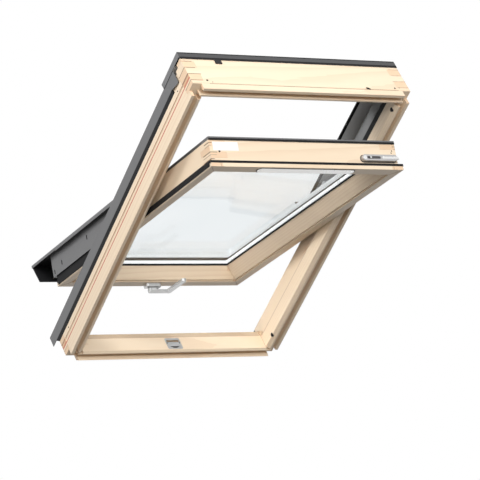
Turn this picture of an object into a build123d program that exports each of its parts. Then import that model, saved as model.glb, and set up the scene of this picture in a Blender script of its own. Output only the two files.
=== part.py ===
"""Centre-pivot roof window: a pine frame for a sloping roof and a glazed sash that turns in it.

Every piece is drawn in a tilted working frame: x runs across the roof, s up the slope and n
square out of the roof. The frame lies at the roof's pitch, and the sash stands open from it.
"""
import os
from math import asin, atan2, cos, degrees, hypot, radians, sin

from build123d import *

# Overall sizes, in millimetres, and angles, in degrees
frame_width = 780.0
frame_length = 1178.0
roof_pitch = 45.0
sash_open_angle = 25.2
red_line_height = 57.0
cut_overrun = 2.0

# Frame timber
stile_thickness = 43.0
top_rail_thickness = 45.0
bottom_rail_thickness = 35.0
stile_height = 122.0
stile_outer_height = 84.0
top_rail_height = 134.0
bottom_rail_height = 84.0
lip_width = 10.0
lining_groove_width = 16.0
lining_groove_depth = 22.0
corner_notch = 30.0
stile_room_chamfer = 11.0
top_rail_room_chamfer = 15.0
bottom_rail_room_chamfer = 6.0
lower_step_height = 57.0
upper_step_height = 47.0
stile_recess = 16.0
top_rail_recess = 17.0
bottom_step_height = 62.0
bottom_step = 5.0
cladding_ledge = 6.0
first_finger = 16.0
finger_pitch = 28.0
top_finger_cap = 12.0
marker_groove_width = 13.0
marker_groove_depth = 2.0
seam_line_height = 25.0
seam_line_width = 3.0
seam_line_depth = 1.5
pilot_hole_diameter = 5.0
pilot_hole_depth = 9.0
pilot_hole_height = 73.5
pilot_hole_inset = 78.5

# Sheet metal on the frame
sheet = 1.5
cladding_foot_height = 103.0
cladding_height = 142.0
cladding_top_width = 9.0
cladding_tail = 44.0
cladding_top_end = 66.0
cladding_tab_drop = 12.0
cladding_tab_length = 34.0
cladding_tab_radius = 10.0
upper_cover_inner = 72.0
upper_cover_inset = 1.0
upper_cover_overlap = 7.0
upper_cover_foot = 18.0
cover_gasket_width = 10.0
cover_gasket_thickness = 2.5
hood_rise = 18.0
hood_length = 131.0
hood_arm_drop = 20.0
hood_flange_lap = 2.0
hood_front_lip = 8.0
hood_clip_place = 262.0
hood_clip_width = 22.0
hood_clip_drop = 17.0
hood_clip_thickness = 3.0
bottom_cladding_gap = 2.0
bottom_cladding_tail = 20.0
bottom_cladding_drop = 45.0
bottom_seal_inset = 8.0
bottom_seal_width = 12.0
bottom_seal_height = 7.5

# Rubber stops on the frame
stop_gasket_width = 11.0
stop_gasket_height = 70.0
stop_gasket_end_gap = 15.0
stop_gasket_lip = 4.0

# Sash timber, set by its gaps to the closed frame
pivot_offset = 10.0
pivot_height = 152.0
sash_side_gap = 4.0
sash_top_gap = 9.0
sash_bottom_gap = 10.0
sash_room_height = 38.5
sash_depth = 90.0
flange_width = 10.0
flange_thickness = 12.0
stile_face_width = 35.0
rail_face_width = 48.0
rebate_wall = 28.0
glass_ledge = 28.0
glass_depth = 49.5
room_rebate_width = 6.0
room_rebate_depth = 5.0

# Glazing
pane_thickness = 4.0
cavity = 16.0
glazing_tape = 4.0
tape_edge_gap = 5.0
tape_overhang = 2.0
glass_edge_gap = 3.0
spacer_width = 15.0
spacer_bead = 5.0
edge_seal_width = 12.0
setting_block_length = 60.0
setting_block_place_share = 0.5

# Sash covers and trims
trim_rise = 9.5
trim_bearing = 12.0
trim_overhang = 2.0
trim_skirt = 11.0
cover_rise = 24.0
lower_cover_start = 42.0
lower_cover_reach = 33.0
lower_cover_inner = 33.0
lower_cover_lip = 12.0
side_panel_reach = 17.0
side_panel_foot = 32.5
side_panel_start = 90.0
side_panel_tail = 14.0
panel_slot_length = 16.0
panel_slot_width = 6.0
panel_slot_place_shares = (0.03, 0.155, 0.57)
panel_slot_rise_shares = (0.19, 0.35, 0.55)
bottom_cover_start = 54.0
bottom_cover_tail = 118.0
bottom_cover_drop = 70.7
bottom_cover_lean = 40.0

# Sash gaskets
flange_gasket_thickness = 8.0
flange_gasket_leg = 8.5
flange_gasket_proud = 2.0

# Half-moon hinges
hinge_tongue_inner = 47.0
hinge_tongue_outer = 57.0
hinge_running_gap = 1.0
hinge_block_radius = 78.0
hinge_block_depth = 12.5
hinge_block_flat = 2.0
hinge_groove_depth = 9.0
hinge_plate_radius = 66.0
hinge_plate_chord = 15.0
hinge_plate_gap = 2.0
tongue_low_angle = 185.0
tongue_high_angle = 352.0
frame_screw_radius = 68.0
sash_screw_radius = 38.0
hinge_screw_angle = 25.0

# Screws
screw_head_diameter = 8.0
screw_head_height = 1.6
screw_shank_diameter = 3.6
screw_hole_diameter = 4.0
screw_grip = 20.0
screw_hole_depth = 21.0

# Handle, lock tongue and striker plate
handle_base_width = 58.0
handle_base_height = 28.0
handle_base_thickness = 13.0
handle_base_corner = 8.0
handle_base_edge = 2.0
handle_base_inset = 7.0
handle_screw_inset = 7.0
handle_screw_spread = 13.0
spindle_offset = 12.0
spindle_diameter = 12.0
spindle_clearance = 0.2
handle_standoff = 19.0
handle_arm_length = 71.0
handle_grip_length = 108.0
handle_arm_width = 15.0
handle_grip_width = 18.0
handle_thickness = 11.0
handle_edge = 3.5
tongue_width = 26.0
tongue_thickness = 5.0
tongue_length = 30.0
tongue_back_set = 0.5
tongue_inset = 3.5
tongue_clearance = 0.5
tongue_travel = 16.5
striker_width = 56.0
striker_height = 48.0
striker_thickness = 2.0
striker_corner = 6.0
striker_room_gap = 9.0
striker_slot_width = 46.0
striker_slot_height = 9.0
striker_pocket_spare = 4.0
crescent_width = 36.0
crescent_height = 7.0
crescent_place = 12.0
striker_screw_spread = 46.0
striker_screw_inset = 21.0

# Barrel bolt and its bushings
bolt_housing_length = 128.0
bolt_housing_width = 20.0
bolt_housing_height = 13.0
bolt_housing_end_gap = 6.0
bolt_drop = 51.5
bolt_rise = 7.0
bolt_diameter = 8.0
bolt_clearance = 0.4
bolt_travel = 26.0
bolt_tip_proud = 1.0
bolt_tail = 12.0
bolt_window_width = 8.0
bolt_window_inset = 16.0
bolt_knob_diameter = 6.0
bolt_knob_rise = 8.0
bolt_screw_inset = 9.0
bolt_seat_height = 4.0
bolt_hole_height = 13.4
bushing_diameter = 14.0
bushing_length = 15.0
bushing_clearance = 0.1

# Plates on the top rail of the sash
vent_plate_length = 344.0
vent_plate_width = 30.0
vent_plate_thickness = 2.0
vent_plate_edge = 0.8
label_length = 88.0
label_width = 28.0
label_thickness = 0.5
label_inset = 12.0
label_drop = 6.5


class Leaf:
    """A tilted working frame: x across, s up the slope, n square out of the roof."""

    def __init__(self, origin, pitch):
        self.origin = Vector(origin)
        self.across = Vector(1, 0, 0)
        self.up = Vector(0, -cos(radians(pitch)), sin(radians(pitch)))
        self.out = Vector(0, sin(radians(pitch)), cos(radians(pitch)))

    def at(self, x, s, n):
        """The point at the given x, s and n."""
        return self.origin + self.across * x + self.up * s + self.out * n

    def side(self, x):
        """Plane for outlines in (s, n), pushed towards the left."""
        return Plane(self.at(x, 0, 0), x_dir=self.up, z_dir=-self.across)

    def section(self, s):
        """Plane for outlines in (x, n), pushed up the slope."""
        return Plane(self.at(0, s, 0), x_dir=self.across, z_dir=self.up)

    def outer_side(self, x):
        """Plane for outlines in (s, -n), pushed towards the right."""
        return Plane(self.at(x, 0, 0), x_dir=self.up, z_dir=self.across)

    def face(self, n):
        """Plane for outlines in (x, s), pushed into the room."""
        return Plane(self.at(0, 0, n), x_dir=self.across, z_dir=-self.out)


def block(leaf, xs, ss, ns, mode=Mode.ADD):
    """A square block between two values each of x, s and n."""
    with BuildSketch(leaf.face(ns[1])) as outline:
        with Locations(((xs[0] + xs[1]) / 2, (ss[0] + ss[1]) / 2)):
            Rectangle(xs[1] - xs[0], ss[1] - ss[0])
    extrude(to_extrude=outline.sketch, amount=ns[1] - ns[0], mode=mode)


def prism(plane, points, amount, mode=Mode.ADD):
    """A straight length of one outline, drawn on a plane and pushed along its normal."""
    with BuildSketch(plane) as outline:
        with BuildLine():
            Polyline(*points, close=True)
        make_face()
    extrude(to_extrude=outline.sketch, amount=amount, mode=mode)


def disc(plane, place, diameter, amount, mode=Mode.ADD):
    """A round bar or hole, drawn on a plane and pushed along its normal."""
    with BuildSketch(plane) as outline:
        with Locations(place):
            Circle(diameter / 2)
    extrude(to_extrude=outline.sketch, amount=amount, mode=mode)


def picture_frame(leaf, outer, inner, ns, mode=Mode.ADD):
    """A rectangular ring between two (x, low s, high s) outlines, over two values of n."""
    with BuildSketch(leaf.face(ns[1])) as outline:
        with Locations((0, (outer[1] + outer[2]) / 2)):
            Rectangle(2 * outer[0], outer[2] - outer[1])
        with Locations((0, (inner[1] + inner[2]) / 2)):
            Rectangle(2 * inner[0], inner[2] - inner[1], mode=Mode.SUBTRACT)
    extrude(to_extrude=outline.sketch, amount=ns[1] - ns[0], mode=mode)


def screws(plane, places):
    """Pan-head screws whose heads stand on a plane, with shanks that go down through it."""
    for place in places:
        disc(plane, place, screw_head_diameter, screw_head_height)
        disc(plane, place, screw_shank_diameter, -screw_grip)


def screw_holes(plane, places, depth):
    """Holes for the shanks of screws, down from a plane."""
    for place in places:
        disc(plane, place, screw_hole_diameter, -depth, mode=Mode.SUBTRACT)


def save(part, name):
    """Label a finished piece and write it out."""
    part.label = name
    export_step(part, f"parts/{name}.step")


def save_pair(part, name):
    """Write a right-hand piece and its mirror image on the left."""
    save(mirror(part, about=Plane.YZ), f"left_{name}")
    save(part, f"right_{name}")


os.makedirs("parts", exist_ok=True)

# Places that several pieces share, in the frame's own x, s and n
half_width = frame_width / 2
inner_half = half_width - stile_thickness
recess_half = inner_half + stile_recess
top_inner = frame_length - top_rail_thickness
pivot_place = frame_length / 2 + pivot_offset
level = Leaf((0, 0, 0), roof_pitch)
frame = Leaf(level.at(0, -frame_length / 2, -red_line_height), roof_pitch)
sash = Leaf(frame.at(0, pivot_place, pivot_height), roof_pitch - sash_open_angle)

# The heights at which the corner fingers change from one timber to the other
finger_1 = lining_groove_depth + first_finger
finger_2 = finger_1 + finger_pitch
finger_3 = finger_2 + finger_pitch
finger_top = top_rail_height - top_finger_cap


def room_edge(thickness, edge_chamfer):
    """Room side of a frame timber as (inset, height): lip, lining groove, chamfered edge."""
    groove_end = lip_width + lining_groove_width
    return [
        (0, 0),
        (lip_width, 0),
        (lip_width, lining_groove_depth),
        (groove_end, lining_groove_depth),
        (groove_end, 0),
        (thickness - edge_chamfer, 0),
        (thickness, edge_chamfer),
    ]


def stile_outline(step_height):
    """Section of the right stile, with its recess starting at the given height."""
    recess_inset = stile_thickness - stile_recess
    marker_top = red_line_height + marker_groove_width / 2
    marker_foot = red_line_height - marker_groove_width / 2
    insets = room_edge(stile_thickness, stile_room_chamfer) + [
        (stile_thickness, step_height),
        (recess_inset, step_height),
        (recess_inset, stile_height),
        (cladding_ledge, stile_height),
        (cladding_ledge, stile_outer_height),
        (0, stile_outer_height),
        (0, marker_top),
        (marker_groove_depth, marker_top),
        (marker_groove_depth, marker_foot),
        (0, marker_foot),
    ]
    return [(half_width - inset, height) for inset, height in insets]


# Frame stiles, with the corner fingers that they bring to the rails
with BuildPart() as stile:
    prism(
        frame.section(bottom_rail_thickness),
        stile_outline(lower_step_height),
        pivot_place - bottom_rail_thickness,
    )
    prism(frame.section(pivot_place), stile_outline(upper_step_height), top_inner - pivot_place)
    corner_xs = (inner_half, half_width)
    top_ss = (top_inner, frame_length)
    bottom_ss = (0, bottom_rail_thickness)
    block(frame, corner_xs, top_ss, (finger_1, finger_2))
    block(frame, corner_xs, top_ss, (finger_3, finger_top))
    block(frame, corner_xs, bottom_ss, (finger_1, finger_2))
    block(
        frame,
        (recess_half, half_width - cladding_ledge),
        bottom_ss,
        (bottom_rail_height, stile_height),
    )
    lip_xs = (half_width - lip_width, half_width)
    block(frame, lip_xs, (top_inner, frame_length - corner_notch), (0, lining_groove_depth))
    block(frame, lip_xs, (corner_notch, bottom_rail_thickness), (0, lining_groove_depth))
    for hole_s in (pilot_hole_inset, frame_length - pilot_hole_inset):
        disc(
            frame.side(half_width),
            (hole_s, pilot_hole_height),
            pilot_hole_diameter,
            pilot_hole_depth,
            mode=Mode.SUBTRACT,
        )

# Sash timber, in the sash's own x, s and n, which start at the pivot axis
flange_half = inner_half - sash_side_gap
body_half = flange_half - flange_width
flange_top = top_inner - sash_top_gap - pivot_place
body_top = flange_top - flange_width
flange_bottom = bottom_rail_thickness + sash_bottom_gap - pivot_place
body_bottom = flange_bottom + flange_width
room_n = sash_room_height - pivot_height
flange_n = room_n + flange_thickness
glass_n = room_n + glass_depth
outer_n = room_n + sash_depth
rebate_half = body_half - rebate_wall
rebate_top = body_top - rebate_wall
rebate_bottom = body_bottom + rebate_wall
sight_half = rebate_half - glass_ledge
sight_top = rebate_top - glass_ledge
sight_bottom = rebate_bottom + glass_ledge
reveal_half = flange_half - stile_face_width
reveal_top = flange_top - rail_face_width
reveal_bottom = flange_bottom + rail_face_width
reveal_n = room_n + room_rebate_depth

# The barrel bolt's axis on the sash, and the two turns that bring it level with its frame holes
bolt_s = body_top + bolt_rise
bolt_n = outer_n - bolt_drop
bolt_lead = degrees(atan2(-bolt_n, bolt_s))
bolt_fall = degrees(asin((pivot_height - bolt_hole_height) / hypot(bolt_s, bolt_n)))
airing_angle = bolt_fall - bolt_lead
cleaning_angle = 180 - bolt_fall - bolt_lead


def turned(s, n, angle):
    """A sash point as (s, n) of the frame, with the sash open by the given angle."""
    turn = radians(angle)
    return (
        pivot_place + s * cos(turn) + n * sin(turn),
        pivot_height - s * sin(turn) + n * cos(turn),
    )


upper_bolt_hole = turned(bolt_s, bolt_n, airing_angle)
lower_bolt_hole = turned(bolt_s, bolt_n, cleaning_angle)


def screw_fan(radius):
    """Two screw places on an arc below the pivot axis, as (s, n) from that axis."""
    across = radius * sin(radians(hinge_screw_angle))
    below = radius * cos(radians(hinge_screw_angle))
    return [(-across, -below), (across, -below)]


frame_screw_places = [
    (pivot_place + s, pivot_height + n) for s, n in screw_fan(frame_screw_radius)
]
sash_screw_places = [(s, -n) for s, n in screw_fan(sash_screw_radius)]
block_floor_half = recess_half - hinge_block_depth + hinge_groove_depth

with BuildPart() as frame_stile:
    add(stile.part)
    screw_holes(frame.side(recess_half), frame_screw_places, screw_hole_depth)

with BuildPart() as frame_right_stile:
    add(frame_stile.part)
    for bolt_hole in (upper_bolt_hole, lower_bolt_hole):
        disc(
            frame.side(inner_half + bushing_length),
            bolt_hole,
            bushing_diameter,
            bushing_length + cut_overrun,
            mode=Mode.SUBTRACT,
        )

save(mirror(frame_stile.part, about=Plane.YZ), "frame_left_stile")
save(frame_right_stile.part, "frame_right_stile")

# Frame rails, with the fingers that fill the gaps between the stiles' fingers
with BuildPart() as frame_top_rail:
    top_recess_inset = top_rail_thickness - top_rail_recess
    top_insets = room_edge(top_rail_thickness, top_rail_room_chamfer) + [
        (top_rail_thickness, upper_step_height),
        (top_recess_inset, upper_step_height),
        (top_recess_inset, top_rail_height),
        (0, top_rail_height),
    ]
    prism(
        frame.side(inner_half),
        [(frame_length - inset, height) for inset, height in top_insets],
        2 * inner_half,
    )
    for side_xs in (corner_xs, (-half_width, -inner_half)):
        block(frame, side_xs, top_ss, (lining_groove_depth, finger_1))
        block(frame, side_xs, top_ss, (finger_2, finger_3))
        block(
            frame,
            side_xs,
            (frame_length - top_recess_inset, frame_length),
            (finger_top, top_rail_height),
        )
    notch_half = half_width - corner_notch
    block(
        frame,
        (-notch_half, notch_half),
        (frame_length - lip_width, frame_length),
        (0, lining_groove_depth),
    )
    strip_half = half_width - lip_width - lining_groove_width
    block(
        frame,
        (-strip_half, strip_half),
        (top_inner + top_rail_room_chamfer, frame_length - lip_width - lining_groove_width),
        (0, lining_groove_depth),
    )
    prism(
        frame.side(half_width),
        [
            (frame_length, seam_line_height + seam_line_width / 2),
            (frame_length - seam_line_depth, seam_line_height),
            (frame_length, seam_line_height - seam_line_width / 2),
        ],
        frame_width,
        mode=Mode.SUBTRACT,
    )
save(frame_top_rail.part, "frame_top_rail")

# The lock tongue's tip, drawn back into the sash, and the floor of the pocket that it enters
tongue_tip = flange_bottom + tongue_back_set
pocket_floor = pivot_place + tongue_tip - tongue_travel - striker_pocket_spare
striker_n = striker_room_gap + striker_height / 2
slot_n = pivot_height + room_n + tongue_inset + tongue_thickness / 2
striker_screw_places = [
    (turn * striker_screw_spread / 2, striker_n + striker_height / 2 - striker_screw_inset)
    for turn in (-1, 1)
]

with BuildPart() as frame_bottom_rail:
    bottom_insets = room_edge(bottom_rail_thickness, bottom_rail_room_chamfer) + [
        (bottom_rail_thickness, bottom_step_height),
        (bottom_rail_thickness - bottom_step, bottom_step_height),
        (bottom_rail_thickness - bottom_step, bottom_rail_height),
        (0, bottom_rail_height),
    ]
    prism(frame.side(inner_half), bottom_insets, 2 * inner_half)
    for side_xs in (corner_xs, (-half_width, -inner_half)):
        block(frame, side_xs, bottom_ss, (lining_groove_depth, finger_1))
        block(frame, side_xs, bottom_ss, (finger_2, bottom_rail_height))
    block(frame, (-notch_half, notch_half), (0, lip_width), (0, lining_groove_depth))
    block(
        frame,
        (-strip_half, strip_half),
        (lip_width + lining_groove_width, bottom_rail_thickness - bottom_rail_room_chamfer),
        (0, lining_groove_depth),
    )
    # Seat of the striker plate, and the pocket that the lock tongue enters
    striker_plane = frame.section(bottom_rail_thickness)
    with BuildSketch(striker_plane) as striker_seat:
        with Locations((0, striker_n)):
            RectangleRounded(striker_width, striker_height, striker_corner)
    extrude(to_extrude=striker_seat.sketch, amount=-striker_thickness, mode=Mode.SUBTRACT)
    block(
        frame,
        (-striker_slot_width / 2, striker_slot_width / 2),
        (pocket_floor, bottom_rail_thickness - striker_thickness),
        (slot_n - striker_slot_height / 2, slot_n + striker_slot_height / 2),
        mode=Mode.SUBTRACT,
    )
    screw_holes(striker_plane, striker_screw_places, screw_hole_depth)
save(frame_bottom_rail.part, "frame_bottom_rail")

# Striker plate: a square slot for the tongue and a crescent below it
with BuildPart() as striker_plate:
    with BuildSketch(striker_plane) as striker_outline:
        with Locations((0, striker_n)):
            RectangleRounded(striker_width, striker_height, striker_corner)
        with Locations((0, slot_n)):
            Rectangle(striker_slot_width, striker_slot_height, mode=Mode.SUBTRACT)
        with BuildLine():
            crescent_n = striker_room_gap + crescent_place
            left_tip = (-crescent_width / 2, crescent_n)
            right_tip = (crescent_width / 2, crescent_n)
            ThreePointArc(left_tip, (0, crescent_n - crescent_height), right_tip)
            Line(right_tip, left_tip)
        make_face(mode=Mode.SUBTRACT)
    extrude(to_extrude=striker_outline.sketch, amount=-striker_thickness)
    screw_holes(striker_plane, striker_screw_places, striker_thickness)
save(striker_plate.part, "striker_plate")

with BuildPart() as striker_screws:
    screws(striker_plane, striker_screw_places)
save(striker_screws.part, "striker_screws")

# Bushings in the right stile that hold the barrel bolt for airing and for cleaning
for bushing_name, bolt_hole in (("upper", upper_bolt_hole), ("lower", lower_bolt_hole)):
    with BuildPart() as bolt_bushing:
        bushing_plane = frame.side(inner_half + bushing_length)
        disc(bushing_plane, bolt_hole, bushing_diameter - 2 * bushing_clearance, bushing_length)
        disc(
            bushing_plane,
            bolt_hole,
            bolt_diameter + 2 * bolt_clearance,
            bushing_length,
            mode=Mode.SUBTRACT,
        )
    save(bolt_bushing.part, f"{bushing_name}_bolt_bushing")

# Rubber strips under the side cladding
cladding_end = frame_length - cladding_top_end
with BuildPart() as cladding_gasket:
    block(
        frame,
        (half_width - cladding_ledge, half_width),
        (0, cladding_end - cladding_tab_length),
        (stile_outer_height, cladding_foot_height),
    )
save_pair(cladding_gasket.part, "cladding_gasket")

# Side cladding: a folded sheet over the outer edge of a stile, with a rounded tab at its top
with BuildPart() as side_cladding:
    cladding_inner = half_width - cladding_top_width
    prism(
        frame.section(-cladding_tail),
        [
            (half_width, cladding_foot_height),
            (half_width, cladding_height),
            (cladding_inner, cladding_height),
            (cladding_inner, stile_height),
            (cladding_inner + sheet, stile_height),
            (cladding_inner + sheet, cladding_height - sheet),
            (half_width - sheet, cladding_height - sheet),
            (half_width - sheet, cladding_foot_height),
        ],
        cladding_end + cladding_tail,
    )
    with BuildSketch(frame.side(half_width)) as tab:
        with BuildLine():
            tab_foot = cladding_foot_height - cladding_tab_drop
            tab_end = cladding_end + cladding_tab_radius
            FilletPolyline(
                (cladding_end - cladding_tab_length, cladding_foot_height),
                (cladding_end, tab_foot),
                (tab_end, tab_foot),
                (tab_end, cladding_height),
                (cladding_end - cladding_tab_length, cladding_height),
                radius=cladding_tab_radius / 2,
                close=True,
            )
        make_face()
    extrude(to_extrude=tab.sketch, amount=sheet)
save_pair(side_cladding.part, "side_cladding")

# Fixed covers over the upper half, notched round the hinges, with a rubber edge underneath
hinge_clear = hinge_block_radius + hinge_plate_gap * 2
with BuildPart() as upper_cover:
    cover_inner = half_width - upper_cover_inner
    cover_top = top_inner + upper_cover_overlap
    cover_ns = (cladding_height, cladding_height + sheet)
    block(
        frame,
        (cover_inner, half_width - upper_cover_inset),
        (pivot_place + hinge_clear, cover_top),
        cover_ns,
    )
    block(
        frame,
        (cover_inner, inner_half - sash_side_gap),
        (pivot_place + upper_cover_foot, pivot_place + hinge_clear),
        cover_ns,
    )
save_pair(upper_cover.part, "upper_cover")

with BuildPart() as cover_gasket:
    block(
        frame,
        (cover_inner, cover_inner + cover_gasket_width),
        (pivot_place + upper_cover_foot, cover_top),
        (cladding_height - cover_gasket_thickness, cladding_height),
    )
save_pair(cover_gasket.part, "cover_gasket")

# Hood: one folded cap over the top rail, with arms down both sides
with BuildPart() as hood:
    hood_height = cladding_height + hood_rise
    hood_half = half_width + sheet
    hood_top = frame_length + sheet
    hood_foot = hood_top - hood_length
    block(frame, (-hood_half, hood_half), (hood_foot, hood_top), (hood_height - sheet, hood_height))
    block(
        frame,
        (-hood_half, hood_half),
        (frame_length, hood_top),
        (top_rail_height - hood_flange_lap, hood_height - sheet),
    )
    for arm_xs in ((half_width, hood_half), (-hood_half, -half_width)):
        block(
            frame,
            arm_xs,
            (hood_foot, hood_top),
            (hood_height - hood_arm_drop, hood_height - sheet),
        )
    block(
        frame,
        (-hood_half, hood_half),
        (hood_foot, hood_foot + sheet),
        (hood_height - hood_front_lip, hood_height - sheet),
    )
save(hood.part, "hood")

with BuildPart() as hood_clip:
    block(
        frame,
        (-hood_clip_place - hood_clip_width / 2, -hood_clip_place + hood_clip_width / 2),
        (frame_length, frame_length + hood_clip_thickness),
        (
            top_rail_height - hood_flange_lap - hood_clip_drop,
            top_rail_height - hood_flange_lap,
        ),
    )
save(hood_clip.part, "hood_clip")

# Bottom cladding and the seal that lies on it
with BuildPart() as bottom_cladding:
    sill_half = recess_half - bottom_cladding_gap
    sill_end = bottom_rail_thickness - bottom_step - bottom_cladding_gap
    sill_top = bottom_rail_height + sheet
    block(
        frame,
        (-sill_half, sill_half),
        (-bottom_cladding_tail, sill_end),
        (bottom_rail_height, sill_top),
    )
    block(
        frame,
        (-sill_half, sill_half),
        (-bottom_cladding_tail, sheet - bottom_cladding_tail),
        (sill_top - bottom_cladding_drop, bottom_rail_height),
    )
save(bottom_cladding.part, "bottom_cladding")

with BuildPart() as bottom_seal:
    seal_end = sill_end - bottom_seal_inset
    block(
        frame,
        (-sill_half, sill_half),
        (seal_end - bottom_seal_width, seal_end),
        (sill_top, sill_top + bottom_seal_height),
    )
save(bottom_seal.part, "bottom_seal")

# Rubber stops in the recesses of the upper half: an upright wall with a lip towards the sash
stop_ns = (upper_step_height, upper_step_height + stop_gasket_height)
stop_lip_ns = (upper_step_height, upper_step_height + stop_gasket_lip)
with BuildPart() as stop_gasket:
    stop_ss = (pivot_place + hinge_clear, pivot_place + bolt_s - stop_gasket_end_gap)
    block(frame, (recess_half - stop_gasket_lip, recess_half), stop_ss, stop_ns)
    block(frame, (recess_half - stop_gasket_width, recess_half), stop_ss, stop_lip_ns)
save_pair(stop_gasket.part, "stop_gasket")

with BuildPart() as top_stop_gasket:
    top_recess = frame_length - top_recess_inset
    stop_xs = (-inner_half, inner_half)
    block(frame, stop_xs, (top_recess - stop_gasket_lip, top_recess), stop_ns)
    block(frame, stop_xs, (top_recess - stop_gasket_width, top_recess), stop_lip_ns)
save(top_stop_gasket.part, "top_stop_gasket")

# Frame half of a hinge: a half-moon block with an arc groove round the pivot axis
with BuildPart() as frame_hinge:
    block_plane = frame.side(recess_half)
    with BuildSketch(block_plane) as half_moon:
        with Locations((pivot_place, pivot_height)):
            Circle(hinge_block_radius)
        with Locations((pivot_place, pivot_height - hinge_block_flat + hinge_block_radius)):
            Rectangle(2 * hinge_block_radius, 2 * hinge_block_radius, mode=Mode.SUBTRACT)
    extrude(to_extrude=half_moon.sketch, amount=hinge_block_depth)
    with BuildSketch(frame.side(block_floor_half)) as arc_groove:
        with Locations((pivot_place, pivot_height)):
            Circle(hinge_tongue_outer + hinge_running_gap)
            Circle(hinge_tongue_inner - hinge_running_gap, mode=Mode.SUBTRACT)
    extrude(to_extrude=arc_groove.sketch, amount=hinge_groove_depth + cut_overrun, mode=Mode.SUBTRACT)
    screw_holes(frame.side(recess_half - hinge_block_depth), frame_screw_places, hinge_block_depth)
save_pair(frame_hinge.part, "frame_hinge")

with BuildPart() as right_hinge_screws:
    screws(frame.side(recess_half - hinge_block_depth), frame_screw_places)
with BuildPart() as frame_hinge_screws:
    add(right_hinge_screws.part)
    mirror(about=Plane.YZ)
save(frame_hinge_screws.part, "frame_hinge_screws")

# Sash frame as one ring: flange, body, stepped and splayed reveal, and glass rebate
flange_outline = (flange_half, flange_bottom, flange_top)
body_outline = (body_half, body_bottom, body_top)
rebate_outline = (rebate_half, rebate_bottom, rebate_top)
sight_outline = (sight_half, sight_bottom, sight_top)
reveal_outline = (reveal_half, reveal_bottom, reveal_top)


def plate(leaf, outline, ns, mode=Mode.ADD):
    """A flat rectangle of one (x, low s, high s) outline, over two values of n."""
    block(leaf, (-outline[0], outline[0]), (outline[1], outline[2]), ns, mode)


def grown(outline, amount):
    """An outline moved outwards all round by the given amount."""
    return (outline[0] + amount, outline[1] - amount, outline[2] + amount)


with BuildPart() as sash_ring:
    plate(sash, flange_outline, (room_n, flange_n))
    plate(sash, body_outline, (flange_n, outer_n))
    plate(sash, rebate_outline, (glass_n, outer_n + cut_overrun), mode=Mode.SUBTRACT)
    with BuildSketch(sash.face(reveal_n)):
        with Locations((0, (reveal_bottom + reveal_top) / 2)):
            Rectangle(2 * reveal_half, reveal_top - reveal_bottom)
    with BuildSketch(sash.face(glass_n)):
        with Locations((0, (sight_bottom + sight_top) / 2)):
            Rectangle(2 * sight_half, sight_top - sight_bottom)
    loft(mode=Mode.SUBTRACT)
    rebate_edge = grown(reveal_outline, room_rebate_width)
    plate(sash, rebate_edge, (room_n, reveal_n), mode=Mode.SUBTRACT)

# Comb joint of the sash corners: heights at which stile and rail take turns
comb_step = (outer_n - flange_n) / 4
comb = [flange_n + comb_step * step for step in range(5)]
stile_bands = ((room_n, comb[0]), (comb[1], comb[2]), (comb[3], comb[4]))
rail_bands = ((comb[0], comb[1]), (comb[2], comb[3]))
reveal_share = (flange_n - reveal_n) / (glass_n - reveal_n)
room_joint_half = reveal_half + (sight_half - reveal_half) * reveal_share

with BuildPart() as sash_stile:
    for band in stile_bands:
        joint_half = room_joint_half if band[0] == room_n else sight_half
        block(sash, (joint_half, flange_half), (flange_bottom, flange_top), band)
    for band in rail_bands:
        block(sash, (sight_half, flange_half), (sight_bottom, sight_top), band)
    add(sash_ring.part, mode=Mode.INTERSECT)

with BuildPart() as drilled_stile:
    add(sash_stile.part)
    screw_holes(sash.outer_side(body_half), sash_screw_places, screw_hole_depth)
save(mirror(drilled_stile.part, about=Plane.YZ), "sash_left_stile")
save(drilled_stile.part, "sash_right_stile")


def sash_rail_blanks(outer_ss, inner_s):
    """Blocks that a sash rail is cut from, between its outer edges and its inner edge."""
    rail_ss = (min(*outer_ss, inner_s), max(*outer_ss, inner_s))
    for band in stile_bands:
        joint_half = room_joint_half if band[0] == room_n else sight_half
        block(sash, (-joint_half, joint_half), rail_ss, band)
    for band in rail_bands:
        block(sash, (-flange_half, flange_half), rail_ss, band)


bolt_screw_place = (body_half - bolt_housing_end_gap - bolt_housing_length + bolt_screw_inset, bolt_n)
with BuildPart() as sash_top_rail:
    sash_rail_blanks((flange_top, body_top), sight_top)
    add(sash_ring.part, mode=Mode.INTERSECT)
    screw_holes(sash.section(body_top), [bolt_screw_place], screw_hole_depth)
save(sash_top_rail.part, "sash_top_rail")

# Handle base on the bottom rail, with the lock tongue in a mortise behind it
handle_s = flange_bottom + handle_base_inset + handle_base_height / 2
handle_n = room_n - handle_base_thickness
handle_screw_x = handle_base_width / 2 - handle_screw_inset
handle_screw_places = [
    (handle_screw_x, handle_s + turn * handle_screw_spread / 2) for turn in (-1, 1)
]
tongue_ns = (room_n + tongue_inset, room_n + tongue_inset + tongue_thickness)
mortise_half = tongue_width / 2 + tongue_clearance

with BuildPart() as sash_bottom_rail:
    sash_rail_blanks((flange_bottom, body_bottom), sight_bottom)
    add(sash_ring.part, mode=Mode.INTERSECT)
    block(
        sash,
        (-mortise_half, mortise_half),
        (flange_bottom - cut_overrun, tongue_tip + tongue_length + tongue_back_set),
        (tongue_ns[0] - tongue_clearance, tongue_ns[1] + tongue_clearance),
        mode=Mode.SUBTRACT,
    )
    screw_holes(sash.face(handle_n), handle_screw_places, screw_hole_depth)
save(sash_bottom_rail.part, "sash_bottom_rail")

with BuildPart() as lock_tongue:
    block(
        sash,
        (-tongue_width / 2, tongue_width / 2),
        (tongue_tip, tongue_tip + tongue_length),
        tongue_ns,
    )
save(lock_tongue.part, "lock_tongue")

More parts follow.
